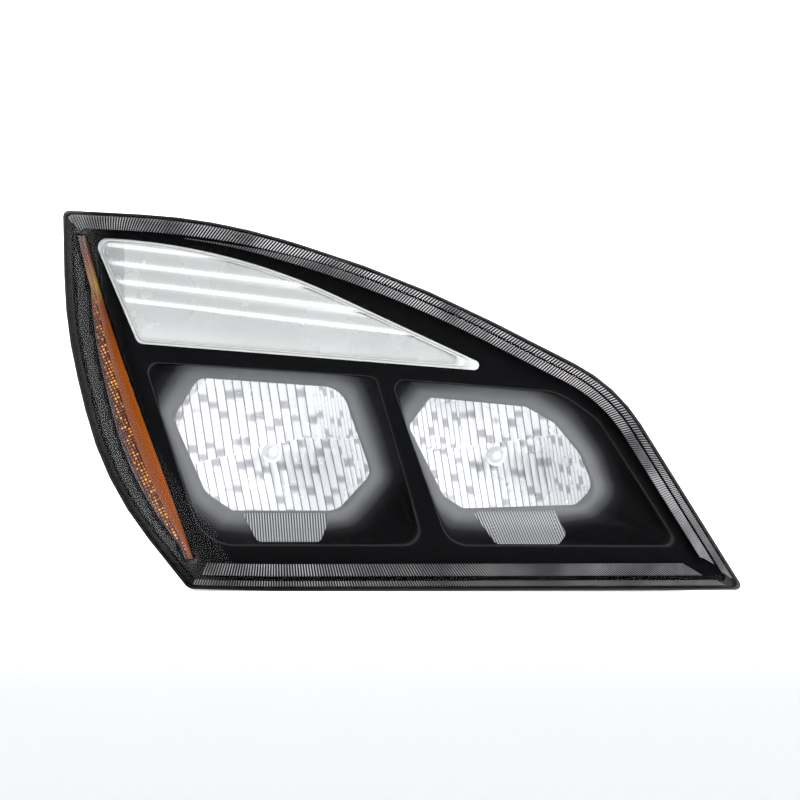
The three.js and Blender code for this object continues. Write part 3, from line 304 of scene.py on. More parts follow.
class Graph:
    """A short way to write a node material."""

    def __init__(self, name):
        self.material = bpy.data.materials.new(name)
        self.material.use_nodes = True
        self.tree = self.material.node_tree
        self.shader = self.tree.nodes["Principled BSDF"]
        self.output = self.tree.nodes["Material Output"]

    def set(self, **sockets):
        for key, value in sockets.items():
            self.shader.inputs[key.replace("_", " ")].default_value = value
        return self

    def node(self, kind, inputs=None, **settings):
        n = self.tree.nodes.new(kind)
        for key, value in settings.items():
            setattr(n, key, value)
        for key, value in (inputs or {}).items():
            if isinstance(value, bpy.types.NodeSocket):
                self.tree.links.new(value, n.inputs[key])
            else:
                n.inputs[key].default_value = value
        return n

    def link(self, source, target):
        self.tree.links.new(source, self.shader.inputs[target] if isinstance(target, str) else target)

    def noise(self, scale, detail=3.0):
        place = self.node("ShaderNodeNewGeometry").outputs["Position"]
        inputs = {"Vector": place, "Scale": scale, "Detail": detail, "Roughness": 0.55}
        return self.node("ShaderNodeTexNoise", inputs).outputs["Fac"]

    def value(self, name):
        return self.node("ShaderNodeAttribute", attribute_name=name).outputs["Fac"]

    def math(self, operation, a, b=0.0):
        n = self.node("ShaderNodeMath", operation=operation)
        for socket, value in zip(n.inputs, (a, b)):
            if isinstance(value, bpy.types.NodeSocket):
                self.tree.links.new(value, socket)
            else:
                socket.default_value = value
        return n.outputs[0]

    def ramp(self, fac, stops):
        n = self.node("ShaderNodeValToRGB", {"Fac": fac})
        elements = n.color_ramp.elements
        while len(elements) < len(stops):
            elements.new(0.5)
        for element, (at, colour) in zip(elements, stops):
            element.position = at
            grey = (colour,) * 3 if isinstance(colour, (int, float)) else colour
            element.color = (*grey, 1)
        return n.outputs["Color"]

    def mix(self, fac, a, b):
        n = self.node("ShaderNodeMix", data_type="RGBA")
        for socket, value in ((n.inputs[0], fac), (n.inputs[6], a), (n.inputs[7], b)):
            if isinstance(value, bpy.types.NodeSocket):
                self.tree.links.new(value, socket)
            else:
                socket.default_value = value if isinstance(value, float) else (*value, 1)
        return n.outputs[2]

    def multiply(self, a, b):
        inputs = {0: 1.0, 6: a, 7: b}
        return self.node("ShaderNodeMix", inputs, data_type="RGBA", blend_type="MULTIPLY").outputs[2]

    def bump(self, height, distance, strength=1.0):
        n = self.node("ShaderNodeBump", {"Height": height, "Distance": distance, "Strength": strength})
        self.link(n.outputs["Normal"], "Normal")


def moulded(name, colour, roughness, grain=900.0, depth=0.00006, coat=0.0):
    """Moulded plastic or rubber: fine grain, faint colour drift, uneven gloss."""
    g = Graph(name).set(Coat_Weight=coat, Coat_Roughness=0.08)
    fine = g.noise(grain, 4)
    broad = g.noise(14, 3)
    light = tuple(min(1, c * 1.18 + 0.004) for c in colour)
    dark = tuple(c * 0.82 for c in colour)
    g.link(g.mix(broad, dark, light), "Base Color")
    g.link(g.ramp(g.math("ADD", g.math("MULTIPLY", fine, 0.5), g.math("MULTIPLY", broad, 0.5)),
                  [(0.3, roughness - 0.08), (0.7, roughness + 0.1)]), "Roughness")
    g.bump(fine, depth)
    return g.material


def metal(name, colour, roughness):
    g = Graph(name).set(Metallic=1.0)
    broad = g.noise(60, 5)
    fine = g.noise(1400, 2)
    g.link(g.mix(broad, tuple(c * 0.78 for c in colour), colour), "Base Color")
    g.link(g.ramp(broad, [(0.3, roughness - 0.06), (0.75, roughness + 0.14)]), "Roughness")
    g.bump(fine, 0.00002)
    return g.material


def clear(name, tint, haze=0.02, body=0.0, body_colour=(0.6, 0.6, 0.6), shine=1.0):
    """Clear plastic or glass: straight-through light, a gloss that grows at the rim and a little body."""
    g = Graph(name)
    g.set(Base_Color=(*body_colour, 1), Roughness=0.3, IOR=1.45)
    tree = g.tree
    through = g.node("ShaderNodeBsdfTransparent", {"Color": (*tint, 1)})
    gloss = g.node("ShaderNodeBsdfGlossy", {"Roughness": haze, "Color": (shine, shine, shine, 1)})
    facing = g.node("ShaderNodeLayerWeight", {"Blend": 0.5}).outputs["Facing"]
    edge = g.math("ADD", g.math("MULTIPLY", g.math("POWER", facing, 4.0), 0.015), 0.006)
    pane = g.node("ShaderNodeMixShader")
    tree.links.new(edge, pane.inputs[0])
    tree.links.new(through.outputs[0], pane.inputs[1])
    tree.links.new(gloss.outputs[0], pane.inputs[2])
    if body:
        # A diffuse body mixed in: the amber bulb's own tint, and on the clear bulb a whitish painted light.
        body_and_painted_light = g.node("ShaderNodeMixShader", {0: body})
        tree.links.new(pane.outputs[0], body_and_painted_light.inputs[1])
        tree.links.new(g.shader.outputs[0], body_and_painted_light.inputs[2])
        pane = body_and_painted_light
    else:
        tree.nodes.remove(g.shader)
    tree.links.new(pane.outputs[0], g.output.inputs["Surface"])
    return g.material


def bezel_material():
    g = Graph("bezel_gloss_black").set(IOR=1.06, Specular_IOR_Level=0.5, Coat_Weight=0.0)
    # Painted light: the bezel's colour grows lighter towards the beam windows, with a painted highlight along
    # each pocket's lip.
    glow = g.value("glow")
    broad = g.noise(9, 2)
    base = g.ramp(glow, [(0.0, (0.0035, 0.0035, 0.0038)), (0.35, (0.012, 0.012, 0.0125)),
                         (0.7, (0.055, 0.055, 0.056)), (1.0, (0.13, 0.13, 0.132))])
    g.link(base, "Base Color")
    g.link(g.ramp(g.math("ADD", g.math("MULTIPLY", glow, 0.4), g.math("MULTIPLY", broad, 0.1)),
                  [(0.0, 0.12), (0.5, 0.5)]), "Roughness")
    g.bump(g.noise(12, 2), 0.00004, 0.2)
    return g.material


def chrome(name, groove=True):
    """Vacuum-metallised plastic. Painted shade darkens its flutes' grooves and painted light brightens their
    tops.
    """
    g = Graph(name).set(Metallic=0.45)
    drift = g.noise(30, 3)
    bright = g.mix(drift, (0.9, 0.9, 0.91), (1.0, 1.0, 1.0))
    if groove:
        # Painted shade in the grooves and a painted highlight on the ridges.
        crest = g.value("crest")
        shade = g.ramp(crest, [(0.0, (0.1, 0.1, 0.11)), (0.16, (0.42, 0.41, 0.44)), (0.34, (1, 1, 1))])
        shade = g.mix(g.value("tone"), (0.3, 0.29, 0.31), shade)
        bright = g.multiply(bright, shade)
    g.link(bright, "Base Color")
    g.link(g.ramp(drift, [(0.3, 0.2), (0.8, 0.34)]), "Roughness")
    g.bump(g.noise(260, 2), 0.00005, 0.5)
    return g.material


def turn_optic_material():
    g = Graph("turn_optic_silver").set(Metallic=0.2, Coat_Weight=0.15, Coat_Roughness=0.15)
    # The bar value is painted light: painted shade and painted highlights across the bars.
    bar = g.value("bar")
    drift = g.noise(22, 3)
    tone = g.ramp(bar, [(0.0, (0.3, 0.3, 0.298)), (0.5, (0.5, 0.5, 0.492)), (1.0, (0.74, 0.74, 0.73))])
    warm = g.mix(drift, (0.97, 0.97, 0.95), (1.0, 1.0, 1.0))
    g.link(g.multiply(tone, warm), "Base Color")
    g.link(g.ramp(drift, [(0.3, 0.2), (0.8, 0.34)]), "Roughness")
    return g.material


def flute_material():
    g = Graph("fluted_border").set(IOR=1.12, Coat_Weight=0.0)
    # Painted light: lit grey ridges over near-black grooves, faded along the band by its painted brightness.
    crest = g.value("crest")
    fade = g.value("fade")
    drift = g.noise(16, 4)
    light = g.mix(g.ramp(drift, [(0.36, 0.0), (0.64, 1.0)]), (0.11, 0.11, 0.115), (0.42, 0.41, 0.42))
    tone = g.mix(g.ramp(crest, [(0.6, 0.0), (0.88, 1.0)]), (0.004, 0.004, 0.005), light)
    g.link(g.mix(fade, (0.012, 0.012, 0.013), tone), "Base Color")
    g.link(g.ramp(drift, [(0.3, 0.36), (0.8, 0.5)]), "Roughness")
    return g.material


def amber_material(name, prisms):
    g = Graph(name).set(IOR=1.12, Coat_Weight=0.0)
    along = g.value("along")
    across = g.value("across")
    drift = g.noise(35, 4)
    down = g.ramp(along, [(0.0, (0.05, 0.025, 0.015)), (0.07, (0.11, 0.016, 0.008)),
                          (0.15, (0.24, 0.13, 0.02)), (0.22, (0.14, 0.028, 0.006)),
                          (0.4, (0.2, 0.045, 0.003)), (1.0, (0.2, 0.042, 0.003))])
    if prisms:
        # Painted glints: each prism gets a painted sparkle of yellow light, strongest at its apex.
        spark = g.ramp(g.math("ADD", g.value("spark"), g.math("MULTIPLY", drift, 0.5)),
                       [(0.5, (0.05, 0.006, 0.003)), (0.72, (0.3, 0.075, 0.002)), (0.95, (1.0, 0.45, 0.02))])
        # Painted shade darkens the prisms towards their outboard edge by the bezel's wing.
        tone = g.mix(g.ramp(across, [(0.0, 0.0), (0.5, 0.15), (0.85, 1.0)]), spark, (0.025, 0.004, 0.005))
        base = g.mix(g.ramp(along, [(0.12, 1.0), (0.3, 0.0)]), tone, down)
    else:
        # Painted shade darkens the smooth band towards the groove by the prisms.
        base = g.mix(g.ramp(across, [(0.5, 0.0), (0.95, 0.4)]), down, (0.1, 0.02, 0.003))
    g.link(base, "Base Color")
    g.link(g.ramp(drift, [(0.3, 0.16), (0.8, 0.3)]), "Roughness")
    g.bump(drift, 0.0001, 0.4)
    return g.material


def ribbed_material():
    g = Graph("ribbed_patch").set(IOR=1.5)
    # Painted light: the ribs' ridges are painted lit grey and their grooves near black.
    crest = g.value("crest")
    lit = g.ramp(crest, [(0.3, 0.0), (0.75, 1.0)])
    g.link(g.mix(lit, (0.03, 0.03, 0.03), (0.34, 0.34, 0.34)), "Base Color")
    g.link(g.ramp(g.noise(40), [(0.3, 0.35), (0.8, 0.5)]), "Roughness")
    return g.material


MATERIALS = {
    "clear_polycarbonate": clear("lens_clear", (0.95, 0.955, 0.96), 0.015, shine=0.5),
    "clear_inner_lens": clear("inner_lens_clear", (0.9, 0.92, 0.9), 0.05),
    "amber_polycarbonate": moulded("amber_body", (0.42, 0.1, 0.01), 0.25),
    "black_gloss_plastic": moulded("bezel_rear", (0.012, 0.012, 0.013), 0.25),
    "black_housing_plastic": moulded("housing_black", (0.02, 0.02, 0.021), 0.55, 1100, 0.00012),
    "mirror_coating": chrome("metallised_back", groove=False),
    "grey_plastic": moulded("grey_moulding", (0.1, 0.105, 0.11), 0.45),
    "white_nylon": moulded("nylon", (0.66, 0.63, 0.54), 0.42, 500, 0.00004),
    "zinc_plated_steel": metal("zinc_plate", (0.6, 0.6, 0.58), 0.32),
    # The clear bulb's whitish body is painted light, so it reads as bright as the lit bowl round it.
    "clear_glass": clear("bulb_glass", (0.95, 0.95, 0.95), 0.0, 0.6, (0.95, 0.95, 0.95)),
    "amber_glass": clear("amber_bulb_glass", (0.95, 0.45, 0.08), 0.0, 0.35, (0.8, 0.25, 0.02)),
    "black_rubber": moulded("rubber", (0.022, 0.022, 0.022), 0.72, 700, 0.0001),
    "brass": metal("brass", (0.72, 0.5, 0.22), 0.28),
}


def dress_nodes():
    """Gives every CAD node its material, smooth curved faces and fine rounded edges."""
    slots = {part["node"]: part["material_slot"] for part in frame["record"]["subparts"]}
    for name, node in frame["nodes"].items():
        mesh = node.data
        mesh.materials.clear()
        mesh.materials.append(MATERIALS[slots[name]])
        if "custom_normal" in mesh.attributes:
            mesh.attributes.remove(mesh.attributes["custom_normal"])
        mesh.shade_smooth()
        weld = node.modifiers.new("weld", "WELD")
        weld.merge_threshold = 1e-5
        bevel = node.modifiers.new("edges", "BEVEL")
        bevel.width = 0.0004
        bevel.segments = 2
        bevel.limit_method = "ANGLE"
        bevel.angle_limit = math.radians(32)
        bevel.harden_normals = True


# ---------------------------------------------------------------------------------------------
# Outer lens: a smooth shell with fluted bands moulded round its border
# ---------------------------------------------------------------------------------------------


def rim_drop(inset):
    return np.interp(inset, [r[0] for r in LENS_RIM], [r[1] for r in LENS_RIM])


def lens_ring(inset):
    ring = rounded(LAMP, inset, 5.0)
    y = lens_face(ring[:, 0], ring[:, 1]) + rim_drop(inset)
    return np.stack([ring[:, 0], y, ring[:, 1]], 1)


def outer_lens():
    rings = [lens_ring(i) for i in LENS_INSETS]
    last = rings[-1]
    middle = last.mean(0)
    for share in LENS_SHARES:
        p = last + (middle - last) * share
        p[:, 1] = lens_face(p[:, 0], p[:, 2])
        rings.append(p)
    centre = middle.copy()
    centre[1] = lens_face(centre[0], centre[2])
    count = len(last)
    points = np.vstack([*rings, centre[None]])
    faces = grid_faces(len(rings), count, close=True, flip=True)
    start = (len(rings) - 1) * count
    faces += [(start + (i + 1) % count, start + i, len(points) - 1) for i in range(count)]
    skirt = lens_ring(LENS_INSETS[0])
    skirt[:, 1] += SKIRT
    faces += [(i, (i + 1) % count, len(points) + (i + 1) % count, len(points) + i) for i in range(count)]
    points = np.vstack([points, skirt])
    slot = "clear_polycarbonate"
    shell = piece("outer_lens_shell", points, faces, MATERIALS[slot], slot=slot)
    thicken(shell, LENS_WALL)
    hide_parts("outer_lens")


def flute_band(name, span, pitch, slant, inner, outer, fade):
    """A fluted band along the lamp's outline. span is its range of distance round the outline; inner and
    outer, its insets, and the last, its painted brightness, are functions of the share of the way along it."""
    ring = rounded(LAMP, 0.0, 0.45, 1.0)
    deltas = np.linalg.norm(np.roll(ring, -1, 0) - ring, axis=1)
    way = np.concatenate([[0], np.cumsum(deltas)[:-1]])
    reach = 30.0
    inward = (rounded(LAMP, reach, 0.45, 1.0) - ring) / reach
    start, stop = span
    chosen = np.where((way >= start) & (way <= stop))[0]
    rows = 7
    across = np.linspace(0, 1, rows)
    t = (way[chosen] - start) / (stop - start)
    inset = inner(t)[None] * across[:, None] + outer(t)[None] * (1 - across[:, None])
    base = ring[chosen][None] + inward[chosen][None] * inset[..., None]
    phase = (way[chosen][None] + slant * inset) / pitch
    wave = 0.5 - 0.5 * np.cos(2 * math.pi * phase)
    border = np.minimum(1, 4 * np.minimum(across, 1 - across))[:, None]
    y = lens_face(base[..., 0], base[..., 1]) + rim_drop(inset) - FLUTE_RISE - FLUTE_HEIGHT * wave * border
    points = np.stack([base[..., 0], y, base[..., 1]], -1).reshape(-1, 3)
    # The flutes' wave also sets their painted ridge light, and the band carries its painted brightness.
    band = piece(name, points, grid_faces(rows, len(chosen), flip=True), FLUTES, slot="clear_polycarbonate",
                 angle=80, crest=wave.ravel(), fade=np.repeat(fade(t)[None], rows, 0).ravel())
    thicken(band, FLUTE_WALL)


def corner_way(index):
    """The distance round the lamp's outline to a corner's arc."""
    ring = rounded(LAMP, 0.0, 0.45, 1.0)
    corner = np.array(LAMP[index][:2])
    at = np.argmin(np.linalg.norm(ring - corner, axis=1))
    return np.linalg.norm(np.diff(ring[: at + 1], axis=0), axis=1).sum()


def flute_bands():
    tip, low_right = corner_way(4), corner_way(6)
    level = lambda a: (lambda t: np.full_like(t, a))
    # Each band's last function is its painted brightness along the band.
    flute_band("lens_flutes_top", (3, tip - 6), 3.1, 0.5,
               lambda t: 10.5 + 7.5 * (1 - smoothstep(0.12, 0.42, t)), level(4.6),
               lambda t: 0.95 - 0.3 * smoothstep(0.6, 1.0, t))
    flute_band("lens_flutes_inner", (135, tip - 16), 2.8, 0.4,
               level(21.5), lambda t: 12.6 + 8 * (1 - smoothstep(0.0, 0.25, t)),
               lambda t: 0.35 + 0.65 * smoothstep(0.1, 0.5, t))
    flute_band("lens_flutes_bottom", (tip + 14, low_right - 8), 3.1, 0.0, level(28), level(15.5),
               lambda t: 0.42 + 0.5 * smoothstep(0.55, 0.95, t))
    flute_band("lens_flutes_bottom_edge", (tip + 8, low_right - 2), 2.8, 0.0, level(10.5), level(5),
               lambda t: 0.4 + 0.35 * smoothstep(0.5, 0.9, t))


# ---------------------------------------------------------------------------------------------
# Bezel
# ---------------------------------------------------------------------------------------------


def funnel_fall(s):
    """How far the funnel has fallen from its mouth, s = 0, to its window, s = 1: a rounded lip, a steep
    wall, then a flat flange round the window."""
    return (1 - (1 - s) ** 2.3) * (1 - np.exp(-((s / 0.06) ** 2)))


def funnel_rings(pocket, window, centre):
    """Rings from the pocket's edge to the window's, and the painted light at each point, lighter near the
    window.
    """
    mouth, edge = rounded(pocket, 0, 3.0, 4), rounded(window, 0, 3.0, 4)
    corner = np.concatenate([mouth, edge]) - np.array([centre["x"], centre["z"]])
    angles = np.sort(np.arctan2(corner[:, 1], corner[:, 0]))[::-1]
    keep = [angles[0]]
    for a in angles[1:]:
        if keep[-1] - a > 0.008:
            keep.append(a)
    angles = np.array(keep)
    far, near = ray_reach(mouth, centre, angles), ray_reach(edge, centre, angles)
    unit = np.stack([np.cos(angles), np.sin(angles)], 1)
    rings, glow = [], []
    for s in FUNNEL_SHARES:
        reach = far + (near - far) * s
        xz = np.array([centre["x"], centre["z"]]) + unit * reach[:, None]
        y = trim_face(xz[:, 0], xz[:, 1]) + FUNNEL_DEPTH * funnel_fall(s)
        rings.append(np.stack([xz[:, 0], y, xz[:, 1]], 1))
        # A painted highlight along the mouth's lip, on painted light that grows towards the window.
        lip = 0.5 * np.exp(-(((s - 0.04) / 0.025) ** 2))
        glow.append((1 - smoothstep(5, 40, reach - near)) * smoothstep(0, 0.2, s) + lip)
    return rings, glow


def amber_opening():
    z = np.linspace(AMBER_BOTTOM[1], AMBER_TOP[1], 60)
    left = np.stack([wing_edge(z), z], 1)
    right = np.stack([amber_edge(z), z], 1)[::-1]
    return np.vstack([left, right])


def flat_sheet(outer, holes):
    """XZ points and triangles that fill the outer loop round its holes."""
    loops = [outer, *holes]
    edges, flat, start = [], [], 0
    for loop in loops:
        edges += [(start + i, start + (i + 1) % len(loop)) for i in range(len(loop))]
        flat += [Vector(p) for p in loop]
        start += len(loop)
    xs, zs = np.meshgrid(np.arange(*TRIM_SPAN_X, TRIM_GRID), np.arange(*TRIM_SPAN_Z, TRIM_GRID))
    grid = np.stack([xs.ravel(), zs.ravel()], 1)

    def within(at):
        return inside(outer, at) & ~np.any([inside(hole, at) for hole in holes], axis=0)

    grid = grid[within(grid)]
    near = np.min([np.linalg.norm(grid[:, None] - loop[None], axis=2).min(1) for loop in loops], axis=0)
    flat += [Vector(p) for p in grid[near > TRIM_GRID / 2]]
    points, _, faces, *_ = geometry.delaunay_2d_cdt(flat, edges, [], 0, 1e-4)
    points = np.array([tuple(p) for p in points])
    faces = np.array([f for f in faces if len(f) == 3])
    return points, faces[within(points[faces].mean(1))]


def bezel():
    low, low_glow = funnel_rings(LOW_POCKET, LOW_WINDOW, LOW)
    high, high_glow = funnel_rings(HIGH_POCKET, HIGH_WINDOW, HIGH)
    holes = [low[0][:, [0, 2]], high[0][:, [0, 2]], rounded(TURN_WINDOW, 0, 4), amber_opening()]
    points, faces = flat_sheet(rounded(LAMP, 9.0, 4), holes)
    sheet = np.stack([points[:, 0], trim_face(points[:, 0], points[:, 1]), points[:, 1]], 1)
    all_points, all_faces, glows = [sheet], [tuple(f) for f in faces], [np.zeros(len(sheet))]
    start = len(sheet)
    for rings, glow in ((low, low_glow), (high, high_glow)):
        count = len(rings[0])
        quads = grid_faces(len(rings), count, close=True, flip=True)
        all_faces += [tuple(start + i for i in quad) for quad in quads]
        all_points += rings
        glows += glow
        start += count * len(rings)
    points = np.vstack(all_points)
    # The funnels' painted light sets the bezel's colour.
    obj = piece("bezel_shell", points, all_faces, BEZEL, slot="black_gloss_plastic", angle=50,
                glow=np.concatenate(glows))
    weld = obj.modifiers.new("weld", "WELD")
    weld.merge_threshold = 0.00005
    thicken(obj, BEZEL_WALL)
    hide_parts("bezel")


def funnel_surface(x, z, pocket, window, centre):
    """The bezel's depth at points inside a pocket."""
    dx, dz = x - centre["x"], z - centre["z"]
    angles, reach = np.arctan2(dz, dx), np.hypot(dx, dz)
    far = ray_reach(rounded(pocket, 0, 3.0, 4), centre, angles)
    near = ray_reach(rounded(window, 0, 3.0, 4), centre, angles)
    s = np.clip((far - reach) / (far - near), 0, 1)
    return trim_face(x, z) + FUNNEL_DEPTH * funnel_fall(s)


def column_grid(outline, columns, rows):
    """XZ points that fill a convex outline: columns of constant x, each from its lower to its upper edge."""
    xs = np.linspace(outline[:, 0].min() + 0.05, outline[:, 0].max() - 0.05, columns)
    grid = []
    for x in xs:
        a, b = outline, np.roll(outline, -1, 0)
        hit = ((a[:, 0] - x) * (b[:, 0] - x) <= 0) & (a[:, 0] != b[:, 0])
        at = a[hit, 1] + (x - a[hit, 0]) * (b[hit, 1] - a[hit, 1]) / (b[hit, 0] - a[hit, 0])
        grid.append(np.stack([np.full(rows, x), np.linspace(at.min(), at.max(), rows)], 1))
    return np.array(grid).transpose(1, 0, 2)


def rib_patch(name, corners, pocket, window, centre, slant):
    columns, rows = 300, 14
    grid = column_grid(rounded(corners, 0, 3), columns, rows)
    x, z = grid[..., 0], grid[..., 1]
    phase = (x + slant * z) / RIB_PITCH
    wave = 0.5 - 0.5 * np.cos(2 * math.pi * phase)
    y = funnel_surface(x, z, pocket, window, centre) - 0.4 - 0.8 * wave
    points = np.stack([x, y, z], -1).reshape(-1, 3)
    # The ribs' wave also sets their painted ridge light.
    patch = piece(name, points, grid_faces(rows, columns), RIBBED, slot="black_gloss_plastic", angle=80,
                  crest=wave.ravel())
    thicken(patch, RIB_WALL)


# ---------------------------------------------------------------------------------------------
# Reflectors
# ---------------------------------------------------------------------------------------------


def beam_optic(name, window, beam, seam, zones):
    """The metallised inside of a beam reflector, with upright flutes in zones that meet at a seam."""
    outline = rounded(window, -OPTIC_MARGIN, 3.0, 4)
    columns, rows = 460, 70
    grid = column_grid(outline, columns, rows)
    x, z = grid[..., 0], grid[..., 1]
    radius = np.hypot(x - beam["x"], z - beam["z"])
    above = z > np.interp(x, [p[0] for p in seam], [p[1] for p in seam])
    y = beam["vertex"] - OPTIC_LIFT - radius**2 / (4 * BEAM_FOCUS)
    wave, lift, tone = np.zeros_like(x), np.zeros_like(x), np.ones_like(x)
    starts = np.random.default_rng(3).random(400) * 40
    for upper, x0, x1, pitch, slant, step in zones:
        across = x + slant * z
        zone = (above == upper) & (across >= x0) & (across < x1)
        wave = np.where(zone, np.abs(np.sin(math.pi * (across - x0) / pitch)), wave)
        lift = np.where(zone, step + 0.055 * pitch, lift)
        start = starts[np.floor((across - x0) / pitch).astype(int) % len(starts)]
        streak = np.sin(z / 14 + start) * np.sin(z / 5.3 + 3.1 * start)
        tone = np.where(zone, 1 - 0.7 * smoothstep(0.35, 0.85, streak), tone)
    y = np.maximum(y - lift * wave - 0.5 * lift, trim_face(x, z) + FUNNEL_DEPTH + OPTIC_GAP)
    points = np.stack([x, y, z], -1).reshape(-1, 3)
    hole = (radius < BULB_HOLE).ravel()
    # The flutes' wave also sets the chrome's painted groove shade and ridge highlight.
    piece(name, points, grid_faces(rows, columns, skip=hole), CHROME, body="reflector_unit",
          slot="mirror_coating", angle=60, crest=np.clip(wave.ravel(), 0, 1), tone=tone.ravel())
    angles = np.linspace(0, 2 * math.pi, 48, endpoint=False)
    ring = [[beam["x"] + r * math.cos(a), beam["vertex"] + d, beam["z"] + r * math.sin(a)]
            for r, d in COLLAR for a in angles]
    quads = grid_faces(len(COLLAR), len(angles), close=True, flip=True)
    piece(f"{name}_collar", ring, quads, CHROME_PLAIN, body="reflector_unit", slot="mirror_coating")


# ---------------------------------------------------------------------------------------------
# Turn signal window and amber side lens
# ---------------------------------------------------------------------------------------------


def turn_lens():
    """The turn signal's inner lens: level bars over a plain lower band, pillowed, in a raised rim."""
    outline = rounded(TURN_WINDOW, 0.6, 4.0)
    columns, rows = 520, 90
    grid = column_grid(outline, columns, rows)
    x, z = grid[..., 0], grid[..., 1]
    level = (z + BAR_FALL * (x + 262)) / BAR_PITCH
    bar = (level - BARS_FROM) % 1.0
    low = level < BARS_FROM
    saw = np.where(low, smoothstep(-2.2, 0.0, level - BARS_FROM), bar)
    profile = np.where(low, LOW_BAND_HEIGHT * saw, BAR_HEIGHT * (1 - np.abs(2 * bar - 1) ** 2.5))
    pillows = smoothstep(0.0, 0.18, bar) * (1 - smoothstep(0.22, 0.4, bar)) * ~low
    flutes = np.abs(np.sin(math.pi * x / PILLOW_PITCH))
    y = trim_face(x, z) + TURN_SET_BACK - profile - PILLOW_HEIGHT * flutes * pillows
    # Painted light for the optic's colour: a painted highlight along each bar's lip, lit and shaded pillow
    # flutes, and a lower band painted lighter towards its bottom.
    lip = np.exp(-(((bar - 0.14) / 0.16) ** 2)) + np.exp(-(((bar - 1.14) / 0.16) ** 2))
    tone = np.where(low, 0.25 + 0.4 * (1 - saw) ** 2, 0.25 + 0.5 * lip + 0.25 * pillows * (flutes - 0.5))
    points = np.stack([x, y, z], -1).reshape(-1, 3)
    optic = piece("turn_lens_optic", points, grid_faces(rows, columns), TURN_OPTIC, slot="clear_inner_lens",
                  angle=60, bar=np.clip(tone, 0, 1).ravel())
    thicken(optic, TURN_WALL)
    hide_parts("turn_inner_lens")
    rings = []
    for inset, rise in TURN_RIM:
        ring = rounded(TURN_WINDOW, inset, 3.0)
        rings.append(np.stack([ring[:, 0], trim_face(ring[:, 0], ring[:, 1]) + rise, ring[:, 1]], 1))
    quads = grid_faces(len(rings), len(rings[0]), close=True, flip=True)
    piece("turn_lens_rim", np.vstack(rings), quads, RIM, slot="clear_inner_lens", angle=60)


def side_lens():
    """The amber lens: a smooth band inboard and a prismatic reflex band outboard."""

    def strip(name, start, stop, rows, columns, material, lift, angle):
        z = np.linspace(AMBER_TOP[1] - 1.5, AMBER_BOTTOM[1] + 1.5, rows)
        right, left = amber_edge(z) - 0.4, wing_edge(z) + 0.4
        width = right - left
        share = np.linspace(start, stop, columns)
        x = right[:, None] - width[:, None] * share[None]
        zz = np.repeat(z[:, None], columns, 1)
        u = np.repeat(np.linspace(0, 1, columns)[None], rows, 0)
        rise, values = lift(x, zz, u)
        y = trim_face(x, zz) - rise
        points = np.stack([x, y, zz], -1).reshape(-1, 3)
        along = np.repeat(np.linspace(0, 1, rows)[:, None], columns, 1).ravel()
        obj = piece(name, points, grid_faces(rows, columns), material, slot="amber_polycarbonate",
                    angle=angle, along=along, across=u.ravel(), spark=values.ravel())
        thicken(obj, AMBER_WALL)
        return obj

    # Random strengths for the prisms' painted glints.
    sparkles = np.random.default_rng(7).random((64, 64))

    def smooth_band(x, zz, u):
        return 0.4 + 2.4 * np.sin(math.pi * np.clip(u, 0, 1)) ** 0.7, np.zeros_like(x)

    def prism_band(x, zz, u):
        c, s = PRISM_TURN
        a = (x * c + zz * s) / PRISM_PITCH
        b = (zz * c - x * s) / PRISM_PITCH
        pyramid = 1 - np.maximum(np.abs(2 * (a % 1) - 1), np.abs(2 * (b % 1) - 1))
        edge = np.minimum(1, 10 * np.minimum(u, 1 - u))
        sparkle = sparkles[np.floor(a).astype(int) % 64, np.floor(b).astype(int) % 64]
        # The prism's painted glint grows towards its apex.
        return 0.2 + PRISM_HEIGHT * pyramid * edge, pyramid * (0.35 + 0.85 * sparkle)

    band = strip("side_lens_band", 0.0, AMBER_BAND_END, 240, 16, AMBER, smooth_band, 60)
    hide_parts("side_reflex_lens")
    strip("side_lens_prisms", PRISMS_START, 1.0, 680, 40, PRISMS, prism_band, 20)


# ---------------------------------------------------------------------------------------------
# Assembly
# ---------------------------------------------------------------------------------------------

FLUTES = flute_material()
BEZEL = bezel_material()
RIBBED = ribbed_material()
CHROME = chrome("metallised_flutes")
CHROME_PLAIN = chrome("metallised_plain", groove=False)
TURN_OPTIC = turn_optic_material()
# The clear rim is coloured light grey: a painted highlight for its lit edge.
RIM = moulded("turn_rim", (0.42, 0.42, 0.41), 0.3, coat=0.1)
AMBER = amber_material("amber_smooth", False)
PRISMS = amber_material("amber_prisms", True)

dress_nodes()
outer_lens()
flute_bands()
bezel()
rib_patch("low_beam_ribs", LOW_PATCH, LOW_POCKET, LOW_WINDOW, LOW, 0.08)
rib_patch("high_beam_ribs", HIGH_PATCH, HIGH_POCKET, HIGH_WINDOW, HIGH, 0.42)
beam_optic("low_beam_optic", LOW_WINDOW, LOW, LOW_SEAM, LOW_ZONES)
beam_optic("high_beam_optic", HIGH_WINDOW, HIGH, HIGH_SEAM, HIGH_ZONES)
turn_lens()
side_lens()

# ---------------------------------------------------------------------------------------------
# Stage, lights and camera
# ---------------------------------------------------------------------------------------------


CAMERA_DISTANCE, LENS_FRONT, FRAME_WIDTH = 20.0, 0.1, 0.824  # metres


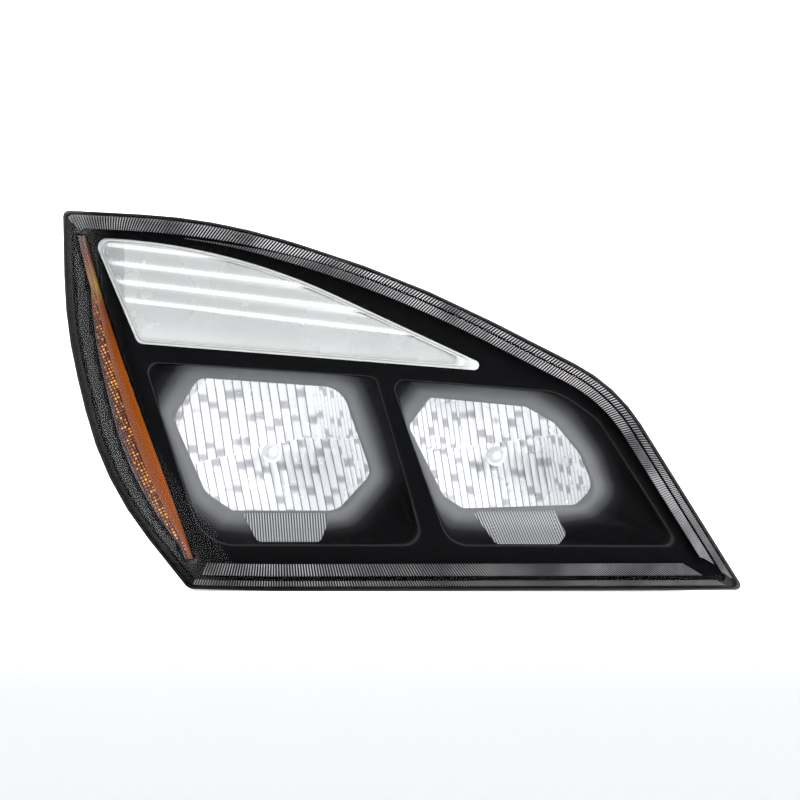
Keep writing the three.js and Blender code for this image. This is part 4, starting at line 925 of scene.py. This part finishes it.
def stage():
    """A floor that curves up into a wall behind the lamp. From behind, the wall can't be seen."""
    floor_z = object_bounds()[0][2]
    profile = [(-24.0, 0.0), (1.2, 0.0)]
    profile += [(1.2 + 1.2 * math.sin(a), 1.2 - 1.2 * math.cos(a)) for a in np.linspace(0.1, math.pi / 2, 12)]
    profile += [(2.4, 5.0)]
    points = [(x, y, floor_z + z) for y, z in profile for x in (-6, 6)]
    mesh = bpy.data.meshes.new("sweep")
    mesh.from_pydata(points, [], [(2 * i, 2 * i + 1, 2 * i + 3, 2 * i + 2) for i in range(len(profile) - 1)])
    mesh.shade_smooth()
    g = Graph("sweep_paper").set(Roughness=0.9, Emission_Color=(1, 1, 1, 1), Emission_Strength=0.42)
    g.link(g.mix(g.noise(2), (0.86, 0.86, 0.865), (0.9, 0.9, 0.9)), "Base Color")
    rear_side = g.node("ShaderNodeNewGeometry").outputs["Backfacing"]
    unseen = g.node("ShaderNodeBsdfTransparent").outputs[0]
    one_sided = g.node("ShaderNodeMixShader", {0: rear_side, 1: g.shader.outputs[0], 2: unseen})
    g.link(one_sided.outputs[0], g.output.inputs["Surface"])
    mesh.materials.append(g.material)
    sweep = bpy.data.objects.new("sweep", mesh)
    bpy.context.scene.collection.objects.link(sweep)
    sweep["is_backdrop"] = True


def softbox(name, place, size, watts, target=(0, 0, 0), mirrored=True):
    light = bpy.data.lights.new(name, "AREA")
    light.shape = "RECTANGLE"
    light.size, light.size_y = size
    light.energy = watts
    obj = bpy.data.objects.new(name, light)
    obj.location = place
    obj.visible_glossy = mirrored
    obj.rotation_euler = (Vector(target) - Vector(place)).to_track_quat("-Z", "Y").to_euler()
    bpy.context.scene.collection.objects.link(obj)


def sky():
    """An even studio sky with one dark flag, low on the left in front."""
    world = bpy.data.worlds.new("studio")
    world.use_nodes = True
    nodes, links = world.node_tree.nodes, world.node_tree.links
    ray = nodes.new("ShaderNodeTexCoord")
    flatten = nodes.new("ShaderNodeVectorMath")
    flatten.operation = "MULTIPLY"
    flatten.inputs[1].default_value = (1, 1, 1.9)
    level = nodes.new("ShaderNodeVectorMath")
    level.operation = "NORMALIZE"
    toward = nodes.new("ShaderNodeVectorMath")
    toward.operation = "DOT_PRODUCT"
    toward.inputs[1].default_value = Vector((-0.72, -0.75, 0.3)).normalized()
    flag = nodes.new("ShaderNodeValToRGB")
    flag.color_ramp.elements[0].position = 0.52
    flag.color_ramp.elements[0].color = (0.8, 0.83, 0.88, 1)
    flag.color_ramp.elements[1].position = 0.7
    flag.color_ramp.elements[1].color = (0.03, 0.03, 0.03, 1)
    links.new(ray.outputs["Generated"], flatten.inputs[0])
    links.new(flatten.outputs["Vector"], level.inputs[0])
    links.new(level.outputs["Vector"], toward.inputs[0])
    links.new(toward.outputs["Value"], flag.inputs["Fac"])
    links.new(flag.outputs["Color"], nodes["Background"].inputs["Color"])
    nodes["Background"].inputs["Strength"].default_value = 0.75
    bpy.context.scene.world = world


def lights():
    softbox("overhead", (0.4, -2.6, 3.0), (2.4, 1.4), 90, (0, -0.1, 0))
    softbox("key_right", (2.2, -3.4, 1.1), (1.4, 2.0), 230, mirrored=False)
    softbox("fill_left", (-2.4, -3.4, -0.1), (0.8, 1.4), 60, mirrored=False)
    softbox("backdrop", (0, 0.7, 2.6), (3.5, 1.2), 130, (0, 2.2, 0.2))


def camera():
    """Straight from the front and far away, as the photograph shows hardly any perspective."""
    lens = bpy.data.cameras.new("camera")
    lens.sensor_width = 36
    lens.lens = lens.sensor_width * (CAMERA_DISTANCE - LENS_FRONT) / FRAME_WIDTH
    obj = bpy.data.objects.new("camera", lens)
    obj.location = (0, -CAMERA_DISTANCE, 0)
    obj.rotation_euler = (math.pi / 2, 0, 0)
    scene = bpy.context.scene
    scene.collection.objects.link(obj)
    scene.camera = obj
    scene.view_settings.view_transform = "Standard"
    scene.view_settings.look = "None"


stage()
sky()
lights()
camera()
